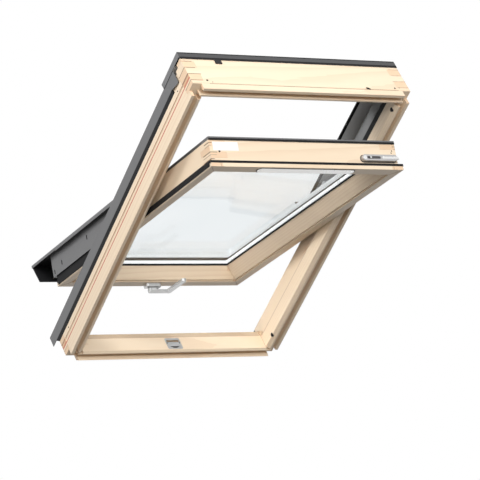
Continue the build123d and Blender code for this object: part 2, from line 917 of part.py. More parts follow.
with BuildPart() as handle_base:
    with BuildSketch(sash.face(room_n)) as base_outline:
        with Locations((0, handle_s)):
            RectangleRounded(handle_base_width, handle_base_height, handle_base_corner)
    extrude(to_extrude=base_outline.sketch, amount=handle_base_thickness)
    base_front = handle_base.faces().sort_by(Axis(sash.origin, -sash.out))[-1]
    fillet(base_front.edges(), handle_base_edge)
    disc(
        sash.face(room_n),
        (-spindle_offset, handle_s),
        spindle_diameter + 2 * spindle_clearance,
        handle_base_thickness + cut_overrun,
        mode=Mode.SUBTRACT,
    )
    screw_holes(sash.face(handle_n), handle_screw_places, handle_base_thickness)
save(handle_base.part, "handle_base")

with BuildPart() as handle_screws:
    screws(sash.face(handle_n), handle_screw_places)
save(handle_screws.part, "handle_screws")

# Handle: a spindle out of the base, an arm along the rail and a grip up the sash
with BuildPart() as handle_lever:
    grip_x = handle_arm_length - spindle_offset
    with BuildSketch(sash.face(handle_n - handle_standoff + handle_thickness)) as lever_outline:
        with Locations((grip_x / 2 - spindle_offset / 2, handle_s)):
            SlotCenterToCenter(handle_arm_length, handle_arm_width)
        with Locations((grip_x, handle_s + handle_grip_length / 2)):
            SlotCenterToCenter(handle_grip_length, handle_grip_width, rotation=90)
    extrude(to_extrude=lever_outline.sketch, amount=handle_thickness)
    disc(
        sash.face(room_n - spindle_clearance),
        (-spindle_offset, handle_s),
        spindle_diameter,
        handle_base_thickness + handle_standoff - handle_thickness - spindle_clearance,
    )
    lever_front = handle_lever.faces().sort_by(Axis(sash.origin, -sash.out))[-1]
    fillet(lever_front.edges(), handle_edge)
save(handle_lever.part, "handle_lever")

# Double glazing: two panes, the spacer between them, its edge seal with a bead over the spacer,
# and the inner tape
inner_pane_n = glass_n + glazing_tape
cavity_n = inner_pane_n + pane_thickness
outer_pane_n = cavity_n + cavity
glass_top_n = outer_pane_n + pane_thickness
glass_outline = grown(rebate_outline, -glass_edge_gap)
seal_outline = grown(glass_outline, -edge_seal_width)
spacer_inner = grown(seal_outline, -spacer_width)
bead_n = outer_pane_n - spacer_bead

with BuildPart() as inner_pane:
    plate(sash, glass_outline, (inner_pane_n, cavity_n))
save(inner_pane.part, "inner_pane")

with BuildPart() as outer_pane:
    plate(sash, glass_outline, (outer_pane_n, glass_top_n))
save(outer_pane.part, "outer_pane")

with BuildPart() as spacer_frame:
    picture_frame(sash, seal_outline, spacer_inner, (cavity_n, bead_n))
save(spacer_frame.part, "spacer_frame")

with BuildPart() as edge_seal:
    picture_frame(sash, glass_outline, seal_outline, (cavity_n, outer_pane_n))
    picture_frame(sash, seal_outline, spacer_inner, (bead_n, outer_pane_n))
save(edge_seal.part, "edge_seal")

with BuildPart() as glazing_gasket:
    picture_frame(
        sash,
        grown(rebate_outline, -tape_edge_gap),
        grown(sight_outline, -tape_overhang),
        (glass_n, inner_pane_n),
    )
save(glazing_gasket.part, "glazing_gasket")

with BuildPart() as setting_blocks:
    for turn in (-1, 1):
        block_x = turn * setting_block_place_share * rebate_half
        block(
            sash,
            (block_x - setting_block_length / 2, block_x + setting_block_length / 2),
            (rebate_bottom, rebate_bottom + glass_edge_gap),
            (inner_pane_n, glass_top_n),
        )
save(setting_blocks.part, "setting_blocks")

# Trims that hold the glass in the upper half of the sash
trim_n = outer_n + trim_rise
trim_foot = -lower_cover_start + hinge_running_gap
with BuildPart() as top_trim:
    glass_half = glass_outline[0]
    glass_top_edge = glass_outline[2]
    trim_edge = glass_top_edge - trim_bearing
    block(sash, (-glass_half, glass_half), (trim_edge, glass_top_edge), (glass_top_n, outer_n))
    prism(
        sash.side(body_half),
        [
            (trim_edge, outer_n),
            (body_top, outer_n),
            (body_top, trim_n - trim_skirt),
            (body_top + trim_overhang, trim_n - trim_skirt),
            (body_top + trim_overhang, trim_n),
            (trim_edge, trim_n),
        ],
        2 * body_half,
    )
save(top_trim.part, "top_trim")

with BuildPart() as side_trim:
    prism(
        sash.section(trim_foot),
        [
            (glass_half - trim_bearing, glass_top_n),
            (glass_half, glass_top_n),
            (glass_half, outer_n),
            (body_half, outer_n),
            (body_half, trim_n),
            (glass_half - trim_bearing, trim_n),
        ],
        trim_edge - trim_foot,
    )
save_pair(side_trim.part, "side_trim")

# Covers over the lower half of the sash: a folded sheet with a lip and a leg on the glass
cover_n = outer_n + cover_rise
bottom_cover_s = rebate_bottom + bottom_cover_start - rebate_wall
cover_outer = body_half + lower_cover_reach
cover_leg = body_half - lower_cover_inner
with BuildPart() as lower_cover:
    prism(
        sash.section(bottom_cover_s),
        [
            (cover_leg, glass_top_n),
            (cover_leg, cover_n),
            (cover_outer, cover_n),
            (cover_outer, cover_n - lower_cover_lip),
            (cover_outer - sheet, cover_n - lower_cover_lip),
            (cover_outer - sheet, cover_n - sheet),
            (cover_leg + sheet, cover_n - sheet),
            (cover_leg + sheet, glass_top_n),
        ],
        -lower_cover_start - bottom_cover_s,
    )
save_pair(lower_cover.part, "lower_cover")

# Side panels below the covers, with slots for their clips
panel_x = body_half + side_panel_reach
panel_foot_n = room_n + side_panel_foot
panel_end = body_bottom - side_panel_tail
with BuildPart() as side_panel:
    prism(
        sash.section(panel_end),
        [
            (panel_x, panel_foot_n),
            (panel_x, cover_n - sheet),
            (panel_x - sheet, cover_n - sheet),
            (panel_x - sheet, panel_foot_n + sheet),
            (body_half, panel_foot_n + sheet),
            (body_half, panel_foot_n),
        ],
        -side_panel_start - panel_end,
    )
    panel_length = -side_panel_start - panel_end
    panel_height = cover_n - sheet - panel_foot_n
    for place_share, rise_share in zip(panel_slot_place_shares, panel_slot_rise_shares):
        slot_s = panel_end + place_share * panel_length
        slot_n_mid = panel_foot_n + rise_share * panel_height
        with BuildSketch(sash.side(panel_x + cut_overrun)) as panel_slot:
            with Locations((slot_s, slot_n_mid)):
                SlotOverall(panel_slot_length, panel_slot_width, rotation=90)
        extrude(to_extrude=panel_slot.sketch, amount=2 * cut_overrun + sheet, mode=Mode.SUBTRACT)
save_pair(side_panel.part, "side_panel")

# Bottom cover: a sheet from the glass out past the frame, with a leaning drop at its end
with BuildPart() as bottom_cover:
    cover_tail = flange_bottom - bottom_cover_tail
    drop_s = cover_tail + bottom_cover_lean
    drop_n = cover_n - bottom_cover_drop
    prism(
        sash.side(cover_outer),
        [
            (bottom_cover_s, glass_top_n),
            (bottom_cover_s, cover_n),
            (cover_tail, cover_n),
            (drop_s, drop_n),
            (drop_s + sheet, drop_n),
            (cover_tail + 2 * sheet, cover_n - sheet),
            (bottom_cover_s - sheet, cover_n - sheet),
            (bottom_cover_s - sheet, glass_top_n),
        ],
        2 * cover_outer,
    )
    leg_ns = (glass_top_n - cut_overrun, cover_n - sheet)
    leg_ss = (bottom_cover_s - sheet, bottom_cover_s)
    for leg_xs in ((cover_leg, cover_outer), (-cover_outer, -cover_leg)):
        block(sash, leg_xs, leg_ss, leg_ns, mode=Mode.SUBTRACT)
save(bottom_cover.part, "bottom_cover")

# Rubber on the outer shoulder of the sash flange, with a leg down its sides: thin round the top,
# deep round the bottom
gasket_half = flange_half + flange_gasket_proud
with BuildPart() as flange_gasket:
    thin_ns = (flange_n, flange_n + flange_gasket_thickness)
    gasket_leg_ns = (flange_n - flange_gasket_leg, flange_n)
    block(sash, (-gasket_half, gasket_half), (body_top, flange_top), thin_ns)
    for strip_xs in ((body_half, gasket_half), (-gasket_half, -body_half)):
        block(sash, strip_xs, (-side_panel_start, body_top), thin_ns)
    for leg_xs in ((flange_half, gasket_half), (-gasket_half, -flange_half)):
        block(sash, leg_xs, (-side_panel_start, body_top), gasket_leg_ns)
save(flange_gasket.part, "flange_gasket")

with BuildPart() as lower_gasket:
    deep_ns = (flange_n, panel_foot_n)
    lower_ss = (body_bottom, -side_panel_start)
    block(sash, (body_half, gasket_half), lower_ss, deep_ns)
    block(sash, (flange_half, gasket_half), lower_ss, gasket_leg_ns)
save_pair(lower_gasket.part, "lower_gasket")

with BuildPart() as bottom_gasket:
    block(sash, (-flange_half, flange_half), (flange_bottom, body_bottom), thin_ns)
save(bottom_gasket.part, "bottom_gasket")

# Sash half of a hinge: a half-moon plate with an arc tongue that slides in the groove
with BuildPart() as sash_hinge:
    plate_outer = inner_half - hinge_plate_gap
    with BuildSketch(sash.side(plate_outer)) as moon_plate:
        Circle(hinge_plate_radius)
        with Locations((0, hinge_plate_radius - hinge_plate_chord)):
            Rectangle(2 * hinge_plate_radius, 2 * hinge_plate_radius, mode=Mode.SUBTRACT)
    extrude(to_extrude=moon_plate.sketch, amount=plate_outer - body_half)
    tongue_end = block_floor_half - hinge_running_gap
    with BuildSketch(sash.side(tongue_end)) as arc_tongue:
        with BuildLine():
            tongue_sweep = tongue_high_angle - tongue_low_angle
            outer_arc = CenterArc((0, 0), hinge_tongue_outer, tongue_low_angle, tongue_sweep)
            inner_arc = CenterArc((0, 0), hinge_tongue_inner, tongue_low_angle, tongue_sweep)
            Line(outer_arc @ 0, inner_arc @ 0)
            Line(outer_arc @ 1, inner_arc @ 1)
        make_face()
    extrude(to_extrude=arc_tongue.sketch, amount=tongue_end - plate_outer)
    screw_holes(sash.outer_side(plate_outer), sash_screw_places, plate_outer - body_half)
save_pair(sash_hinge.part, "sash_hinge")

with BuildPart() as right_sash_screws:
    screws(sash.outer_side(plate_outer), sash_screw_places)
with BuildPart() as sash_hinge_screws:
    add(right_sash_screws.part)
    mirror(about=Plane.YZ)
save(sash_hinge_screws.part, "sash_hinge_screws")

# Pill-shaped ventilation plate on the room face of the top rail
with BuildPart() as vent_plate:
    with BuildSketch(sash.face(room_n)) as pill:
        with Locations((0, (flange_top + reveal_top) / 2)):
            SlotOverall(vent_plate_length, vent_plate_width)
    extrude(to_extrude=pill.sketch, amount=vent_plate_thickness)
    pill_front = vent_plate.faces().sort_by(Axis(sash.origin, -sash.out))[-1]
    fillet(pill_front.edges(), vent_plate_edge)
save(vent_plate.part, "vent_plate")

# Blank plate on the top edge of the sash
with BuildPart() as label_plate:
    block(
        sash,
        (label_inset - body_half, label_inset - body_half + label_length),
        (body_top, body_top + label_thickness),
        (outer_n - label_drop - label_width, outer_n - label_drop),
    )
save(label_plate.part, "label_plate")

# Barrel bolt on the top edge of the sash: housing, its screw and the sliding rod
housing_end = body_half - bolt_housing_end_gap
housing_start = housing_end - bolt_housing_length
bore_start = housing_start + bolt_window_inset
bolt_window_length = bolt_travel + 2 * bolt_tail
with BuildPart() as bolt_housing:
    with BuildSketch(sash.section(body_top)) as housing_outline:
        with Locations(((housing_start + housing_end) / 2, bolt_n)):
            SlotOverall(bolt_housing_length, bolt_housing_width)
    extrude(to_extrude=housing_outline.sketch, amount=bolt_housing_height)
    disc(
        sash.side(housing_end + cut_overrun),
        (bolt_s, bolt_n),
        bolt_diameter + 2 * bolt_clearance,
        housing_end + cut_overrun - bore_start,
        mode=Mode.SUBTRACT,
    )
    with BuildSketch(sash.section(bolt_s)) as knob_window:
        with Locations((bore_start + bolt_window_length / 2, bolt_n)):
            SlotOverall(bolt_window_length, bolt_window_width)
    extrude(to_extrude=knob_window.sketch, amount=bolt_housing_height, mode=Mode.SUBTRACT)
    disc(
        sash.section(body_top + bolt_seat_height),
        bolt_screw_place,
        screw_head_diameter + 2 * bolt_clearance,
        bolt_housing_height,
        mode=Mode.SUBTRACT,
    )
    screw_holes(sash.section(body_top + bolt_seat_height), [bolt_screw_place], bolt_seat_height)
save(bolt_housing.part, "bolt_housing")

with BuildPart() as bolt_screw:
    screws(sash.section(body_top + bolt_seat_height), [bolt_screw_place])
save(bolt_screw.part, "bolt_screw")

with BuildPart() as bolt_rod:
    rod_tip = body_half + bolt_tip_proud
    rod_tail = bore_start + bolt_clearance
    disc(sash.side(rod_tip), (bolt_s, bolt_n), bolt_diameter, rod_tip - rod_tail)
    disc(
        sash.section(bolt_s),
        (rod_tail + bolt_tail, bolt_n),
        bolt_knob_diameter,
        bolt_knob_rise,
    )
save(bolt_rod.part, "bolt_rod")
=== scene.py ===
# %% [markdown]
# # A centre-pivot roof window
#
# The window is a pine frame that lies in a sloping roof, and a glazed pine sash that turns in it on
# two half-moon hinges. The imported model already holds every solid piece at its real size. This
# script dresses those pieces: it gives them pine, lacquered metal, rubber and glass, adds the small
# things that the solids leave plain, and lights them.

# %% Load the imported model
from functools import partial
from math import cos, radians, sin

import bmesh
import bpy
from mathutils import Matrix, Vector


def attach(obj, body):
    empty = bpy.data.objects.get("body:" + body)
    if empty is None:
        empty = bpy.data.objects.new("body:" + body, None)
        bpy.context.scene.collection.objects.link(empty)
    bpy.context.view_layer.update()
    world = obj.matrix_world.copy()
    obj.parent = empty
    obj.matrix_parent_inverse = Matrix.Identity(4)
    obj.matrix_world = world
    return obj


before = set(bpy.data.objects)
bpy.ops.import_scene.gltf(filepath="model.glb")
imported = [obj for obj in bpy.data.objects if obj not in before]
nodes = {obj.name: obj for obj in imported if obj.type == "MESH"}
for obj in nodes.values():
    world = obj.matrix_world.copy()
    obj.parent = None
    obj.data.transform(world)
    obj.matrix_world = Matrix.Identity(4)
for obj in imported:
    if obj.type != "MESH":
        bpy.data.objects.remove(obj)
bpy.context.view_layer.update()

# %% [markdown]
# The window lies in a roof of 45 degrees, and the sash stands open from it. Places on a sloping
# piece are hard to think of in level x, y and z, so we think in a tilted frame instead: across the
# roof, up the slope, and out of the roof. `tilted` turns such a place, in millimetres, into metres
# of the level frame. The numbers are those of the solids.

# %% Tilted working frames
ROOF_PITCH = 45.0
OPEN_ANGLE = 25.2
SASH_PITCH = ROOF_PITCH - OPEN_ANGLE
FRAME_LENGTH = 1178
RED_LINE_HEIGHT = 57
PIVOT_PLACE = 599
PIVOT_HEIGHT = 152


def tilted(origin, pitch):
    """Returns (axes, at): the three directions of a tilted frame, and its map from mm to metres."""
    across = Vector((1, 0, 0))
    up = Vector((0, -cos(radians(pitch)), sin(radians(pitch))))
    out = Vector((0, sin(radians(pitch)), cos(radians(pitch))))

    def at(x, s, n):
        return origin + (across * x + up * s + out * n) / 1000

    return (across, up, out), at


_, roof_at = tilted(Vector((0, 0, 0)), ROOF_PITCH)
frame_axes, frame_at = tilted(roof_at(0, -FRAME_LENGTH / 2, -RED_LINE_HEIGHT), ROOF_PITCH)
sash_axes, sash_at = tilted(frame_at(0, PIVOT_PLACE, PIVOT_HEIGHT), SASH_PITCH)
ACROSS, ROOF_UP, ROOF_OUT = frame_axes
_, SASH_UP, SASH_OUT = sash_axes
print("pivot axis at", [round(value, 4) for value in sash_at(0, 0, 0)])

# %% [markdown]
# ## Camera
#
# The camera stands inside the room, to the left of the window and at about its height, and looks
# out through it. A long lens from far away keeps the frame's long edges nearly parallel.

# %% Camera
camera = bpy.data.objects.new("camera", bpy.data.cameras.new("camera"))
bpy.context.collection.objects.link(camera)
camera.location = (-4.2965, -7.3202, -0.1324)
camera.rotation_euler = (radians(90.4254), radians(0.0632), radians(-30.6026))
camera.data.sensor_width = 36
camera.data.lens = 200.0
bpy.context.scene.camera = camera
print("camera stands", round(camera.location.length, 2), "m away")

# %% [markdown]
# ## Building materials from nodes
#
# Every finish here is a small tree of nodes. Writing each node, socket and link out in full is long,
# so a few helpers do it. `add_node` makes a node and fills its inputs, linking those that are given a
# socket, and the others are short names for the nodes that we use most.

# %% Node helpers
def add_node(tree, kind, inputs=None, **settings):
    """Adds a node to a tree; an input that is given a socket is linked, any other is set."""
    made = tree.nodes.new(kind)
    for name, value in settings.items():
        setattr(made, name, value)
    for key, value in (inputs or {}).items():
        socket = made.inputs[key]
        if isinstance(value, bpy.types.NodeSocket):
            tree.links.new(value, socket)
        else:
            socket.default_value = value
    return made


def math_node(tree, operation, *values):
    """Adds a Math node and returns its result."""
    return add_node(tree, "ShaderNodeMath", dict(enumerate(values)), operation=operation).outputs[0]


def vector_node(tree, operation, *values):
    """Adds a Vector Math node and returns its result."""
    made = add_node(tree, "ShaderNodeVectorMath", dict(enumerate(values)), operation=operation)
    return made.outputs["Value" if operation == "DOT_PRODUCT" else "Vector"]


def noise(tree, vector, scale, detail, roughness=0.5):
    """Adds a Noise Texture node and returns its outputs."""
    inputs = {"Vector": vector, "Scale": scale, "Detail": detail, "Roughness": roughness}
    return add_node(tree, "ShaderNodeTexNoise", inputs).outputs


def split(tree, vector):
    """Returns the X, Y and Z of a vector."""
    return add_node(tree, "ShaderNodeSeparateXYZ", {0: vector}).outputs


print("node helpers ready")

# %% [markdown]
# Colours are mixed by masks. A mask is a number from 0 to 1 that changes over the surface: where a
# value passes a limit, where a face looks a certain way, or where a place lies on the sloping window.

# %% Colours and masks
def blend_colour(tree, factor, first, second, blend_type="MIX"):
    """Mixes two colours and returns the result."""
    inputs = {0: factor, 6: first, 7: second}
    made = add_node(tree, "ShaderNodeMix", inputs, data_type="RGBA", blend_type=blend_type)
    return made.outputs[2]


def tint(tree, mask, amount, under, over, blend_type="MIX"):
    """Lays part of a colour over another where a mask says so."""
    return blend_colour(tree, math_node(tree, "MULTIPLY", mask, amount), under, over, blend_type)


def step_mask(tree, value, start, end):
    """Zero below start and one above end, smooth between them."""
    inputs = {"Value": value, "From Min": start, "From Max": end, "To Min": 0.0, "To Max": 1.0}
    made = add_node(tree, "ShaderNodeMapRange", inputs, interpolation_type="SMOOTHSTEP")
    return made.outputs["Result"]


def within(tree, value, centre, half):
    """One where a value is less than half away from a centre."""
    off = math_node(tree, "ABSOLUTE", math_node(tree, "SUBTRACT", value, centre))
    return math_node(tree, "LESS_THAN", off, half)


def facing(tree, direction):
    """The cosine between the object's own normal and a direction."""
    normal = add_node(tree, "ShaderNodeTexCoord").outputs["Normal"]
    return vector_node(tree, "DOT_PRODUCT", normal, tuple(direction))


def turned_place(tree, pitch):
    """The object's coordinates, turned so that y runs down a slope and z runs out of it."""
    place = add_node(tree, "ShaderNodeTexCoord").outputs["Object"]
    turn = (radians(pitch), 0, 0)
    return add_node(tree, "ShaderNodeMapping", {"Vector": place, "Rotation": turn}).outputs[0]


print("colour and mask helpers ready")

# %% [markdown]
# A node group is a small tree with named inputs and outputs, built once and placed in many
# materials. A material here starts from its Principled BSDF and goes onto a CAD piece as its only
# material slot.

# %% Groups and materials
def new_group(name, inputs, outputs):
    """Starts a shader group; returns its tree, the node of its inputs and that of its outputs."""
    tree = bpy.data.node_groups.new(name, "ShaderNodeTree")
    for title, kind, value in inputs:
        socket = tree.interface.new_socket(title, in_out="INPUT", socket_type=kind)
        if value is not None:
            socket.default_value = value
    for title, kind in outputs:
        tree.interface.new_socket(title, in_out="OUTPUT", socket_type=kind)
    return tree, tree.nodes.new("NodeGroupInput"), tree.nodes.new("NodeGroupOutput")


def use_group(tree, group, **inputs):
    """Places a shader group in a tree and returns its outputs."""
    return add_node(tree, "ShaderNodeGroup", inputs, node_tree=group).outputs


def new_material(name):
    """Starts a material with its Principled BSDF; returns the material, its tree and the shader."""
    material = bpy.data.materials.new(name)
    material.use_nodes = True
    return material, material.node_tree, material.node_tree.nodes["Principled BSDF"]


def finish_nodes(material, *names):
    """Gives CAD nodes one material."""
    for name in names:
        mesh = nodes[name].data
        mesh.materials.clear()
        mesh.materials.append(material)


print("group and material helpers ready")

# %% [markdown]
# Real edges are never knife sharp. A Bevel node rounds the normal near each edge without touching
# the mesh, and where the rounded normal leaves the true one there is an edge: that difference is a
# mask for wear, and for the fine dark line along the edges of the pine, which stands partly for glue
# where two timbers meet and partly for painted shade on the rounded edge. Many materials want both,
# so they come from one group.

# %% Group: soft edges
soft_edges, given, result = new_group(
    "soft edges",
    [("Radius", "NodeSocketFloat", 0.001)],
    [("Normal", "NodeSocketVector"), ("Edge", "NodeSocketFloat")],
)
rounded = add_node(soft_edges, "ShaderNodeBevel", {"Radius": given.outputs["Radius"]}, samples=6)
true_normal = add_node(soft_edges, "ShaderNodeNewGeometry").outputs["Normal"]
agreement = vector_node(soft_edges, "DOT_PRODUCT", rounded.outputs["Normal"], true_normal)
edge = add_node(
    soft_edges,
    "ShaderNodeMapRange",
    {"Value": agreement, "From Min": 0.995, "From Max": 0.85, "To Min": 0.0, "To Max": 1.0},
)
soft_edges.links.new(rounded.outputs["Normal"], result.inputs["Normal"])
soft_edges.links.new(edge.outputs["Result"], result.inputs["Edge"])
print("group", soft_edges.name)

# %% [markdown]
# ## Pine
#
# Pine is pale cream, with growth rings a few millimetres apart: soft early wood that fades into a
# thin, darker and harder line of late wood. A board is a straight cut through those rings, so we
# make the rings in three dimensions, round an axis that lies outside the board and leans a little,
# and let the faces cut them. Along faces that gives long lines and slow arches, and on the ends of
# the finger joints it gives end grain, with no extra work.

# %% Group: pine grain, the rings
GRAIN_STRETCH = (0.16, 1.0, 1.0)
RING_WANDER = (0.0, 0.012, 0.012)
pine_grain, given, result = new_group(
    "pine grain",
    [("Vector", "NodeSocketVector", None), ("Rings", "NodeSocketFloat", 62.0)],
    [("Color", "NodeSocketColor"), ("Roughness", "NodeSocketFloat"), ("Height", "NodeSocketFloat")],
)
along = given.outputs["Vector"]
stretched = vector_node(pine_grain, "MULTIPLY", along, GRAIN_STRETCH)
sway = noise(pine_grain, stretched, 9.0, 3.0)["Color"]
centred_sway = vector_node(pine_grain, "SUBTRACT", sway, (0.5, 0.5, 0.5))
bent = vector_node(pine_grain, "MULTIPLY_ADD", centred_sway, RING_WANDER, stretched)
ring_inputs = {"Vector": bent, "Scale": given.outputs["Rings"]}
ring_inputs |= {"Distortion": 0.6, "Detail": 2.0, "Detail Scale": 1.5}
rings = add_node(
    pine_grain,
    "ShaderNodeTexWave",
    ring_inputs,
    wave_type="RINGS",
    rings_direction="X",
    wave_profile="SAW",
)
late_wood = step_mask(pine_grain, rings.outputs["Fac"], 0.35, 1.0)
print("rings drawn")

# %% Group: pine grain, its colour, gloss and relief
FIBRE_STRETCH = (0.03, 1.0, 1.0)
EARLY_CREAM = (0.90, 0.745, 0.56, 1)
EARLY_TAN = (0.86, 0.69, 0.50, 1)
LATE_BROWN = (0.66, 0.44, 0.27, 1)
FIBRE_BROWN = (0.68, 0.49, 0.33, 1)
fibre_place = vector_node(pine_grain, "MULTIPLY", along, FIBRE_STRETCH)
fibre = noise(pine_grain, fibre_place, 900.0, 2.0, 0.6)["Fac"]
cloud = noise(pine_grain, stretched, 5.0, 2.0)["Fac"]
wood = blend_colour(pine_grain, cloud, EARLY_CREAM, EARLY_TAN)
wood = tint(pine_grain, late_wood, 0.24, wood, LATE_BROWN)
wood = tint(pine_grain, fibre, 0.14, wood, FIBRE_BROWN)
rough = math_node(pine_grain, "MULTIPLY_ADD", fibre, 0.18, 0.36)
fibre_height = math_node(pine_grain, "MULTIPLY", fibre, 0.5)
height = math_node(pine_grain, "MULTIPLY_ADD", late_wood, 0.5, fibre_height)
pine_grain.links.new(wood, result.inputs["Color"])
pine_grain.links.new(rough, result.inputs["Roughness"])
pine_grain.links.new(height, result.inputs["Height"])
print("group", pine_grain.name, "with", len(pine_grain.nodes), "nodes")

# %% [markdown]
# The frame's stiles carry a red line on their outer faces, two strokes beside a shallow groove,
# which the fitter sets level with the roof battens. One stroke is a darker red and the groove a darker
# tan: painted shade on the groove's edge and in the groove. It lies at a height of zero in the
# frame's out direction, so the turned z coordinate finds it, and x tells which face is the outer one.

# %% Red fitting line
RED_PAINT = (0.52, 0.10, 0.05, 1)
RED_IN_PAINTED_SHADE = (0.33, 0.13, 0.08, 1)
GROOVE_PAINTED_SHADE = (0.80, 0.66, 0.52, 1)
RED_STROKES = ((0.0060, 0.0021, RED_IN_PAINTED_SHADE), (-0.0075, 0.0034, RED_PAINT))
GROOVE_HALF = 0.0045
OUTER_FACE_X = 0.3897
PAINT_COVER = 0.88


def paint_red_line(tree, level, colour):
    """Two red strokes along the stile's outer face, one in painted shade, and painted shade in the groove.
    """
    parts = split(tree, level)
    outer = math_node(tree, "GREATER_THAN", math_node(tree, "ABSOLUTE", parts["X"]), OUTER_FACE_X)
    groove = math_node(tree, "MULTIPLY", within(tree, parts["Z"], 0.0, GROOVE_HALF), outer)
    # Painted shade: the groove is darkened, and one red stroke is a darker red.
    colour = blend_colour(tree, groove, colour, GROOVE_PAINTED_SHADE, "MULTIPLY")
    for centre, half, paint in RED_STROKES:
        stroke = math_node(tree, "MULTIPLY", within(tree, parts["Z"], centre, half), outer)
        colour = tint(tree, stroke, PAINT_COVER, colour, paint)
    return colour


print("red line of", len(RED_STROKES), "strokes")

# %% [markdown]
# Each timber needs the grain along its own length. A Mapping node turns the object's coordinates so
# that their x runs along the timber, and shifts them so that no two timbers are cut from the same
# place of the tree. Cut ends drink more lacquer and are a little darker: a face whose normal lies
# along the grain is such an end.

# %% Lacquered pine
END_TINT = (0.93, 0.84, 0.77, 1)
GLUE_AND_EDGE_SHADE = (0.36, 0.22, 0.12, 1)
RING_LEAN = (0.5, 0.35)
GRAIN_UP = 90.4
GRAIN_ACROSS = 0.5


def pine(name, leaf, upright, cut_from, red_line):
    """Lacquered pine for a timber that runs up the slope of a leaf, or across it."""
    axes, pitch = leaf
    material, tree, shader = new_material(name)
    level = turned_place(tree, pitch)
    turn = [radians(angle) for angle in (*RING_LEAN, GRAIN_UP if upright else GRAIN_ACROSS)]
    placing = {"Vector": level, "Rotation": turn, "Location": cut_from}
    board = add_node(tree, "ShaderNodeMapping", placing).outputs[0]
    grain = use_group(tree, pine_grain, Vector=board)
    edges = use_group(tree, soft_edges, Radius=0.0014)
    along_grain = math_node(tree, "ABSOLUTE", facing(tree, axes[1] if upright else axes[0]))
    cut_end = step_mask(tree, along_grain, 0.8, 0.95)
    colour = blend_colour(tree, cut_end, grain["Color"], END_TINT, "MULTIPLY")
    # Painted shade in part: the brown along the board edges is partly glue and partly shade on the
    # rounding.
    colour = tint(tree, edges["Edge"], 0.3, colour, GLUE_AND_EDGE_SHADE)
    if red_line:
        colour = paint_red_line(tree, level, colour)
    relief = {"Strength": 0.25, "Distance": 0.0004}
    relief |= {"Height": grain["Height"], "Normal": edges["Normal"]}
    bump = add_node(tree, "ShaderNodeBump", relief)
    tree.links.new(colour, shader.inputs["Base Color"])
    tree.links.new(grain["Roughness"], shader.inputs["Roughness"])
    tree.links.new(bump.outputs["Normal"], shader.inputs["Normal"])
    shader.inputs["Coat Weight"].default_value = 0.12
    shader.inputs["Coat Roughness"].default_value = 0.3
    return material


print("pine ready")

# %% Pine boards, each cut from its own place
FRAME_LEAF = (frame_axes, ROOF_PITCH)
SASH_LEAF = (sash_axes, SASH_PITCH)
BOARDS = {
    "frame_top_rail": (FRAME_LEAF, False, (0.31, 0.085, 0.03)),
    "frame_bottom_rail": (FRAME_LEAF, False, (1.7, 0.54, 0.045)),
    "frame_left_stile": (FRAME_LEAF, True, (0.4, 0.47, 0.06)),
    "frame_right_stile": (FRAME_LEAF, True, (2.3, -0.31, 0.05)),
    "sash_top_rail": (SASH_LEAF, False, (3.1, -0.42, 0.09)),
    "sash_bottom_rail": (SASH_LEAF, False, (0.9, 0.60, 0.11)),
    "sash_left_stile": (SASH_LEAF, True, (1.2, 0.38, 0.10)),
    "sash_right_stile": (SASH_LEAF, True, (2.8, -0.24, 0.12)),
}
pine_boards = {}
for board, (leaf, upright, cut_from) in BOARDS.items():
    red_line = upright and leaf is FRAME_LEAF
    title = "pine, " + board.replace("_", " ")
    pine_boards[board] = pine(title, leaf, upright, cut_from, red_line)
    finish_nodes(pine_boards[board], board)
print("pine boards", len(pine_boards))

# %% [markdown]
# The band of the frame's bottom rail above its joint line, where the sash closes on it, lies in the
# shadow of the top rail and the sash. A painted shade on the faces that look up the roof darkens it.
# It is mixed by multiplying, so that the grain still shows through.

# %% Painted shade on the rebate of the bottom rail
REBATE_PAINTED_SHADE = (0.68, 0.64, 0.60, 1)
REBATE_LEVEL = 0.0045


def second_coat(material, mask, colour, blend_type="MIX"):
    """Puts another colour on the part of a finish that a mask picks out."""
    tree = material.node_tree
    base = tree.nodes["Principled BSDF"].inputs["Base Color"]
    under = base.links[0].from_socket
    tree.links.new(blend_colour(tree, mask, under, colour, blend_type), base)


bottom_pine = pine_boards["frame_bottom_rail"]
tree = bottom_pine.node_tree
rebate_height = split(tree, turned_place(tree, ROOF_PITCH))["Z"]
above_line = step_mask(tree, rebate_height, REBATE_LEVEL, REBATE_LEVEL + 0.001)
looks_up = step_mask(tree, facing(tree, ROOF_UP), 0.5, 0.7)
# Painted shade: the rebate band is darkened where the top rail and the sash shade it.
second_coat(bottom_pine, math_node(tree, "MULTIPLY", above_line, looks_up), REBATE_PAINTED_SHADE, "MULTIPLY")
print("painted shade on", bottom_pine.name)

# %% [markdown]
# ## Lacquered metal, rubber and plastic
#
# The covers are aluminium sheet with a baked grey lacquer: even in colour, with a faint orange peel
# and a little dust. Rubber and black plastic have a matt bloom. One group makes that unevenness at
# two scales, and each finish takes as much of it as it needs.

# %% Group: surface bloom
bloom, given, result = new_group(
    "surface bloom",
    [("Fine Scale", "NodeSocketFloat", 600.0), ("Broad Scale", "NodeSocketFloat", 14.0)],
    [("Fine", "NodeSocketFloat"), ("Broad", "NodeSocketFloat")],
)
bloom_place = add_node(bloom, "ShaderNodeTexCoord").outputs["Object"]
for title, detail in (("Fine", 2.0), ("Broad", 4.0)):
    speckle = noise(bloom, bloom_place, given.outputs[f"{title} Scale"], detail, 0.55)
    bloom.links.new(speckle["Fac"], result.inputs[title])
print("group", bloom.name)

# %% Coated and moulded finishes
COAT_DRIFT = 0.35
ROUGH_DRIFT = 0.2


